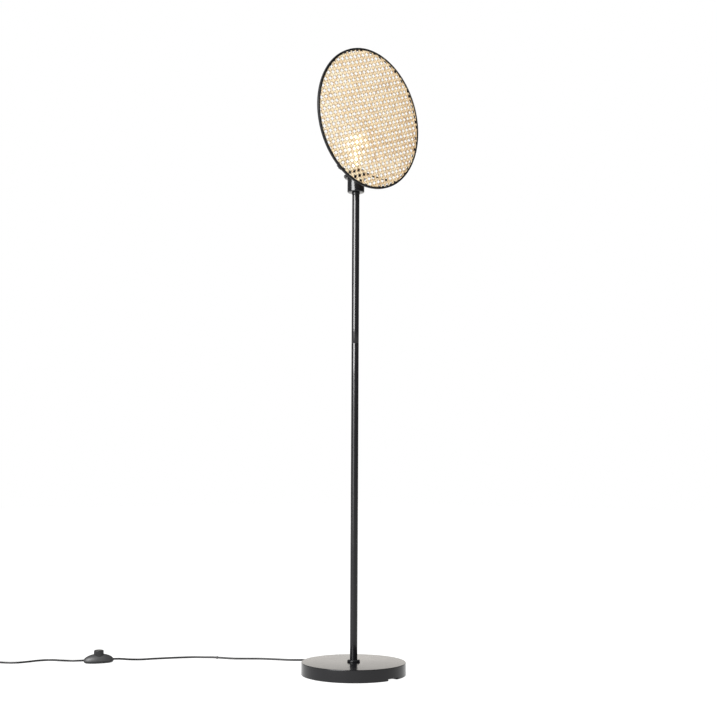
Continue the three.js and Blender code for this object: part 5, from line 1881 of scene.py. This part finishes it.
    def _weave(self) -> None:
        """The whole woven sheet, strand by strand."""
        chance = random.Random(self.seed)
        blank, facts = Blank(), []
        for family, (way, starts) in self._families().items():
            for start, number in starts:
                self._strand(blank, facts, family, way, start, number, chance)
        mesh = bpy.data.meshes.new("cane_weave")
        mesh.from_pydata([(self.upright @ point) * MM for point in blank.points], [], blank.faces)
        weave = mesh.attributes.new("weave", "FLOAT_VECTOR", "POINT")
        weave.data.foreach_set("vector", [value for fact in facts for value in fact[:3]])
        # The depth attribute carries the painted shade to the cane's colour.
        depth = mesh.attributes.new("depth", "FLOAT", "POINT")
        depth.data.foreach_set("value", [fact[3] for fact in facts])
        mesh.shade_smooth()
        mesh.set_sharp_from_angle(angle=radians(70.0))
        self.shop.fit(added("cane_weave", mesh), Slot.CANE, "cane_sheet", body=Body.SCREEN)

    def _crossbar(self) -> None:
        """The round bar with pressed flat ends that follow the rim."""
        span, screw = Span.of("crossbar"), Span.of("crossbar_screw_right")
        drop = self.centre - (span.bottom + span.top) / 2
        screw_x = screw.low.x + screw.radius
        start, full = screw_x - self.press_start, screw_x - self.press_full
        spots = [(share * start, 0.0, 0.0) for share in (0.0, 0.35, 0.7, 0.9)]
        spots += [
            (start + (full - start) * k / 6, (1 - cos(pi * k / 6)) / 2, 0.0) for k in range(7)
        ]
        spots += [(full, 1.0, k / 8) for k in range(1, 9)]
        mirrored = [(-x, flat, reach) for x, flat, reach in reversed(spots[1:])]
        rings = []
        for x, flat, reach in [*mirrored, *spots]:
            squeeze = 1.0 if reach < 1 else 0.9
            ring = []
            section = oval(
                self.bar_radius - flat, self.bar_radius + 2 * flat, 2 + 5 * flat, self.bar_steps
            )
            for depth, height in section:
                end = sqrt((self.radius - self.tab_inset) ** 2 - (drop - height) ** 2)
                far = abs(x) + (end - abs(x)) * reach
                ring.append(Vector((
                    copysign(far, x), height * squeeze - drop,
                    self.bar_depth + 0.2 * flat + depth * squeeze,
                )))
            rings.append(ring)
        self._add(Blank().stack(rings), "carrying_bar", Slot.ENAMEL, "crossbar", 40.0)

    def _screw(self, word: str, side: int) -> None:
        """One of the two screws that hold the crossbar to the rim.

        Args:
            word: Left or right.
            side: The sign of its place across.
        """
        node = f"crossbar_screw_{word}"
        span, head = Span.of(node), self.screw_head
        middle = (span.low + span.high) / 2
        length = span.high.y - span.low.y - head
        blank = screw_blank(span.radius, head, self.screw_shank, length, self.screw_pitch)
        turn = spin(-pi / 2, "X") @ spin(0.3 + side, "Z")
        screw = blank.moved(shift(middle.x, span.high.y - head, middle.z) @ turn)
        self.shop.make(screw, f"rim_screw_{word}", Slot.STEEL, node, Body.SCREEN)


@dataclass
class FootSwitch:
    """The foot switch on the cord: base, domed cover and ribbed button."""

    shop: PaintShop
    place: Point = (-347.5, 565.3)
    degrees: float = -23.5
    length: float = 76.0
    width: float = 34.0
    height: float = 23.2
    base_height: float = 5.5
    base_inset: float = 0.8
    bowl_share: float = 0.8
    bowl_rows: int = 10
    tray_floor: float = 2.0
    tray_floor_share: float = 0.9
    lip: float = 0.45
    power: float = 2.1
    wall: float = 1.6
    dome_rows: int = 22
    button_radius: float = 12.2
    button_top: float = 32.5
    button_bottom: float = 14.0
    button_wall: float = 2.2
    button_crown: float = 3.0
    lug_reach: Point = (14.5, 4.0)
    lug_heights: Point = (17.4, 19.2)
    stroke: float = 3.5
    spring_wire: float = 0.7
    spring_turns: float = 6.5
    spring_rest: float = 0.7
    ribs: int = 40
    rib_depth: float = 0.4
    cord_height: float = 8.0
    cord_hole: float = 2.9
    around: int = 160

    def __post_init__(self) -> None:
        """Works out where it stands."""
        self.where = shift(*self.place, 0.0) @ spin(radians(self.degrees), "Z")

    def build(self) -> list[Thing]:
        """Makes the base, the cover, the button and its spring."""
        return [self._base(), self._cover(), self._button(), self._spring()]

    def _level(self, inset: float, share: float, height: float) -> list[Vector]:
        """One outline of the case, drawn in by an inset and then scaled by a share."""
        outline = oval(self.length / 2 - inset, self.width / 2 - inset, self.power, self.around)
        return [Vector((x * share, y * share, height)) for x, y in outline]

    def _base(self) -> Thing:
        """The shallow black bowl that stands on the floor.

        Returns:
            The tray.
        """
        inset, high, share = self.base_inset, self.base_height, self.bowl_share
        levels = [(inset + 0.4, share, 0.0)]
        for turn in rises(0.0, pi / 2, self.bowl_rows):
            rise = 0.15 + (high - 0.4) * (1 - cos(turn))
            levels.append((inset, share + (1 - share) * sin(turn), rise))
        levels += [
            (inset + 0.2, 1.0, high), (inset + self.wall, 1.0, high),
            (inset + self.wall, self.tray_floor_share, self.tray_floor),
        ]
        blank = Blank().stack([self._level(*level) for level in levels])
        tray = self._with_entries(blank.moved(self.where).to_object("switch_tray"))
        return self.shop.fit(tray, Slot.PLASTIC, "switch_base")

    def _dome_rings(self, inset: float, top: float, hole: float) -> list[list[Vector]]:
        """Rings of the dome from its lower edge in to the button's hole.

        Args:
            inset: How far the dome is drawn in all round.
            top: Height of its crown, were there no hole.
            hole: Radius of the hole.

        Returns:
            The rings, each with the same number of points.
        """
        low = self.base_height + 0.3
        rings = []
        for share in rises(0.0, 1.0, self.dome_rows):
            ring = []
            for point in self._level(inset, 1.0, 0.0):
                turn = acos(min(hole / point.length, 1.0)) * share
                flat = point * cos(turn)
                ring.append(Vector((flat.x, flat.y, low + (top - low) * sin(turn))))
            rings.append(ring)
        return rings

    def _cover(self) -> Thing:
        """The satin dome, open for the button.

        Returns:
            The dome.
        """
        hole = self.button_radius + 0.3
        outer = self._dome_rings(0.0, self.height, hole + self.lip)
        inner = self._dome_rings(self.wall, self.height - self.wall, hole)
        lip = []
        for sink, share in ((0.12, 0.55), (0.45, 0.0)):
            reach = (hole + self.lip * share) / (hole + self.lip)
            lip.append([Vector((p.x * reach, p.y * reach, p.z - sink)) for p in outer[-1]])
        blank = Blank().stack([*outer, *lip, *reversed(inner)], loop=True)
        dome = self._with_entries(blank.moved(self.where).to_object("switch_dome", 40.0))
        return self.shop.fit(dome, Slot.GREY, "switch_cover")

    def _with_entries(self, thing: Thing) -> Thing:
        """Cuts the cord's round entries through both ends.

        Args:
            thing: The piece to cut.

        Returns:
            The same piece.
        """
        hole, far = self.cord_hole, self.length
        rod = turned([(0, -far), (hole, -far), (hole, far), (0, far)], 40)
        lay = self.where @ shift(0, 0, self.cord_height) @ spin(pi / 2, "Y")
        tool = rod.moved(lay).to_object("entry_tool")
        cut = thing.modifiers.new("entries", "BOOLEAN")
        cut.operation, cut.solver, cut.object = "DIFFERENCE", "EXACT", tool
        graph = bpy.context.evaluated_depsgraph_get()
        mesh = bpy.data.meshes.new_from_object(thing.evaluated_get(graph))
        thing.modifiers.clear()
        thing.data = mesh
        mesh.set_sharp_from_angle(angle=radians(40.0))
        bpy.data.objects.remove(tool)
        return thing

    def _button(self) -> Thing:
        """The hollow button: ribbed round its side, softly crowned, with a lug at each end.

        Returns:
            The button.
        """
        wide, top, low = self.button_radius, self.button_top, self.button_bottom
        inner, roof = wide - self.button_wall, top - self.button_crown
        profile = rounded([
            (0, roof, 0), (inner, roof, 0.3), (inner, low, 0.2), (wide, low, 0.3),
            (wide, top - 1.6, 1.4), (wide - 3.0, top - 0.15, 1.2), (wide - 4.5, top - 0.5, 1.0),
            (0, top - 0.5, 0),
        ], 5)

        def shaped(radius: float, height: float, angle: float) -> float:
            """The side with its ribs, which fade out inward and at the crown."""
            ease = clamped(top - 1.5 - height) * clamped(radius - wide + 1.0)
            return radius - self.rib_depth * max(0.0, cos(self.ribs * angle)) * ease

        blank = turned(profile, 6 * self.ribs, shaped)
        x, y = self.lug_reach
        lug = rounded([(-x, -y, 1.0), (x, -y, 1.0), (x, y, 1.0), (-x, y, 1.0)], 3)
        blank.join(plate([lug], *self.lug_heights, 0.3))
        place = blank.moved(self.where)
        return self.shop.make(
            place, "ribbed_button", Slot.PLASTIC, "switch_button", Body.BUTTON, 40.0
        )

    def _spring(self) -> Thing:
        """The coiled wire under the button, at its rest length.

        Returns:
            The spring.
        """
        span = Span.of("switch_spring")
        wire, turns, rest = self.spring_wire, self.spring_turns, self.spring_rest
        low, high = span.bottom + wire, span.top - wire
        path = []
        for share in rises(0.0, 1.0, round(turns * 24)):
            climb = clamped((share * turns - rest) / (turns - 2 * rest))
            if min(share, 1 - share) * turns <= rest:
                climb = round(share)
            height = low + (high - low) * climb
            path.append(polar(span.half_depth - wire, tau * turns * share, height))
        blank = swept(path, flat_circle(wire, 10)).moved(shift(*self.place, 0.0))
        spring = self.shop.make(
            blank, "button_spring", Slot.STEEL, "switch_spring", sharp=60.0
        )
        height = span.top - span.bottom
        anchor = (self.place[0] * MM, self.place[1] * MM, span.bottom * MM)
        (height - self.stroke) / height
        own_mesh(spring)
        return spring


@dataclass
class PlugEnd:
    """The coil's tie and the moulded plug."""

    shop: PaintShop
    cord: Cord
    tie_degrees: float = -80.0
    tie_width: float = 6.0
    tie_thickness: float = 0.9
    tie_gap: float = 0.3
    sleeve_length: float = 24.0
    sleeve_gap: float = 0.3
    sleeve_ribs: int = 6
    body_length: float = 36.0
    body_width: float = 35.3
    body_thickness: float = 13.7
    body_power: float = 3.6
    grips: int = 4
    grip_start: float = 11.0
    grip_step: float = 2.4
    grip_length: float = 7.0
    pin_radius: float = 2.0
    pin_length: float = 19.0
    pin_spacing: float = 19.0
    pin_seat: float = 8.0
    stations: tuple = (
        (0.0, 0.3, 0.42), (0.03, 0.36, 0.52), (0.1, 0.5, 0.74), (0.2, 0.75, 0.9), (0.3, 0.93, 1.0),
        (0.45, 1.0, 1.0), (0.6, 1.0, 1.0), (0.66, 0.97, 0.98), (0.72, 0.93, 0.94),
        (0.86, 0.93, 0.94), (0.97, 0.93, 0.94), (0.995, 0.91, 0.9), (1.0, 0.87, 0.82),
    )

    def __post_init__(self) -> None:
        """Works out where the plug lies."""
        end, way = self.cord.coil_end()
        reach = 2 * self.cord.radius + self.cord.plug_tail + self.sleeve_length
        spot = end + way * (reach + 2 * self.sleeve_gap)
        spot.z = self.cord.plug_height
        self.where = Matrix.Translation(spot) @ spin(atan2(way.y, way.x), "Z")
        self.lay = spin(pi / 2, "Y")

    def build(self) -> list[Thing]:
        """Makes the tie, the sleeve, the body and the pins."""
        made = [self._tie(), self._sleeve(), self._body()]
        return [*made, self._pin("left", 1), self._pin("right", -1)]

    def _tie(self) -> Thing:
        """The strap closed round the coil's turns.

        Returns:
            The strap.
        """
        cord, gap = self.cord, self.cord.radius + self.tie_gap
        inner = cord.coil_radius - cord.coil_pitch * cord.coil_turns / 2 - gap
        outer = cord.coil_radius + gap
        low, high = cord.coil_height - gap, cord.coil_height + cord.coil_pitch + gap
        thick, half = self.tie_thickness, self.tie_width / 2
        left, right, under, over = inner - thick, outer + thick, low - thick, high + thick
        outside = rounded([
            (left, under, 1.6), (right, under, 1.6), (right, over, 2.6), (left, over, 2.6)
        ], 5)
        inside = rounded([
            (inner, low, 0.9), (inner, high, 1.9), (outer, high, 1.9), (outer, low, 0.9)
        ], 5)
        lay = shift(*cord.coil_place, 0.0) @ spin(radians(self.tie_degrees), "Z")
        tie = plate([outside, inside], -half, half, 0.2).moved(lay @ spin(pi / 2, "X"))
        return self.shop.make(tie, "coil_strap", Slot.RUBBER, "coil_tie")

    def _sleeve(self) -> Thing:
        """The ribbed sleeve where the cord enters the plug.

        Returns:
            The sleeve.
        """
        gap, ribs = self.sleeve_gap, self.sleeve_ribs
        back = -self.sleeve_length - gap
        corners: list[Corner] = [(SLEEVE_BORE, back, 0), (3.2, back, 0.3)]
        step = (self.sleeve_length - 3.0) / ribs
        for k in range(ribs):
            here, wide = 2.0 - self.sleeve_length + step * k, 3.3 + 1.6 * k / ribs
            corners += [
                (wide, here, 0.2), (wide + 0.12, here + step * 0.55, 0.2),
                (wide - 0.6, here + step * 0.62, 0.15), (wide - 0.6, here + step * 0.95, 0.15),
            ]
        corners += [(4.9, -1.0, 0.2), (5.0, -gap, 0.1), (SLEEVE_BORE, -gap, 0)]
        sleeve = lathe(corners, 3, 40).moved(self.where @ self.lay)
        return self.shop.make(sleeve, "plug_sleeve", Slot.RUBBER, "plug_relief")

    def _body(self) -> Thing:
        """The moulded plug: narrow at the cord, wide in the hand and flat at its face.

        Returns:
            The plug's body.
        """
        half, thick = self.body_width / 2, self.body_thickness / 2
        blank = Blank().stack([
            [Vector((share * self.body_length, y, z))
             for y, z in oval(half * across, thick * deep, self.body_power, 72)]
            for share, across, deep in self.stations
        ])
        long = self.grip_length
        outline = rounded([(0, 0, 0.4), (1.1, 0, 0.4), (1.1, long, 0.5), (0, long, 0.5)], 3)
        grip = plate([outline], -0.2, 0.35, 0.1)
        for side, turn, back in ((-1, pi, -long), (1, 0.0, 0.0)):
            for k in range(self.grips):
                along = self.grip_start + self.grip_step * k
                place = shift(along, -long / 2, side * (thick - 0.36))
                blank.join(grip, place @ spin(turn, "X") @ shift(0, back, 0))
        body = blank.moved(self.where)
        return self.shop.make(body, "moulded_plug", Slot.PLASTIC, "plug_body", sharp=40.0)

    def _pin(self, word: str, side: int) -> Thing:
        """One round pin with a blunt tip.

        Args:
            word: Left or right.
            side: The sign of its place across.

        Returns:
            The pin.
        """
        start, end = self.body_length - self.pin_seat, self.body_length + self.pin_length
        radius = self.pin_radius
        blank = lathe([
            (0, start, 0), (radius, start, 0.2), (radius, end - 1.2, 0.8),
            (radius - 0.9, end, 0.6), (0, end, 0),
        ], 5, 32)
        pin = blank.moved(self.where @ shift(0, side * self.pin_spacing / 2, 0) @ self.lay)
        return self.shop.make(pin, f"contact_pin_{word}", Slot.STEEL, f"plug_pin_{word}")


@dataclass
class HiddenParts:
    """CAD pieces that keep their own shape and get a full finish."""

    shop: PaintShop
    finishes: tuple = (
        (Slot.IRON, ("base_weight",)),
        (Slot.RUBBER, ("base_pad",)),
        (Slot.STEEL, (
            "base_washer", "base_nut", "foot_nipple", "pole_foot_bush", "pole_bush_lower",
            "pole_bush_upper", "pole_top_bush", "pole_joint_nipple", "top_nipple", "cup_nut",
            "clamp_nut", "bulb_tip", "switch_screw_left", "switch_screw_right",
        )),
        (Slot.CORD, ("inner_lead",)),
        (Slot.CERAMIC, ("terminal_block", "switch_mechanism")),
        (Slot.BRASS, ("centre_contact",)),
        (Slot.PLASTIC, ("bulb_insulator", "cord_clamp_left", "cord_clamp_right")),
    )

    def dress(self, nodes: dict[str, Thing]) -> None:
        """Paints each of them.

        Args:
            nodes: The CAD nodes by name.
        """
        for slot, names in self.finishes:
            for name in names:
                self.shop.dip(nodes[name], self.shop.materials[slot])
                LOG.info("%s: %s", name, slot.value)


def main() -> None:
    """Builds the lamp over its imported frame, piece by piece."""
    logging.basicConfig(level=logging.INFO, format="%(name)s %(message)s")
    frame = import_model()
    shop = PaintShop()
    Viewpoint().set_up()
    cord = Cord(shop)
    first, second, band = cord.build()
    switch = FootSwitch(shop).build()
    plug = PlugEnd(shop, cord).build()
    for part in (Base, Pole, Holder, Bulb, Bracket, Screen):
        part(shop).build()
    nodes = frame["nodes"]
    HiddenParts(shop).dress(nodes)
    inside = [nodes["switch_mechanism"]]
    for kind in ("cord_clamp", "switch_screw"):
        inside += [nodes[f"{kind}_left"], nodes[f"{kind}_right"]]
    cord.declare(first, second, [band, *switch, *inside], plug)
    Studio().set_up()


if __name__ == "__main__":
    main()
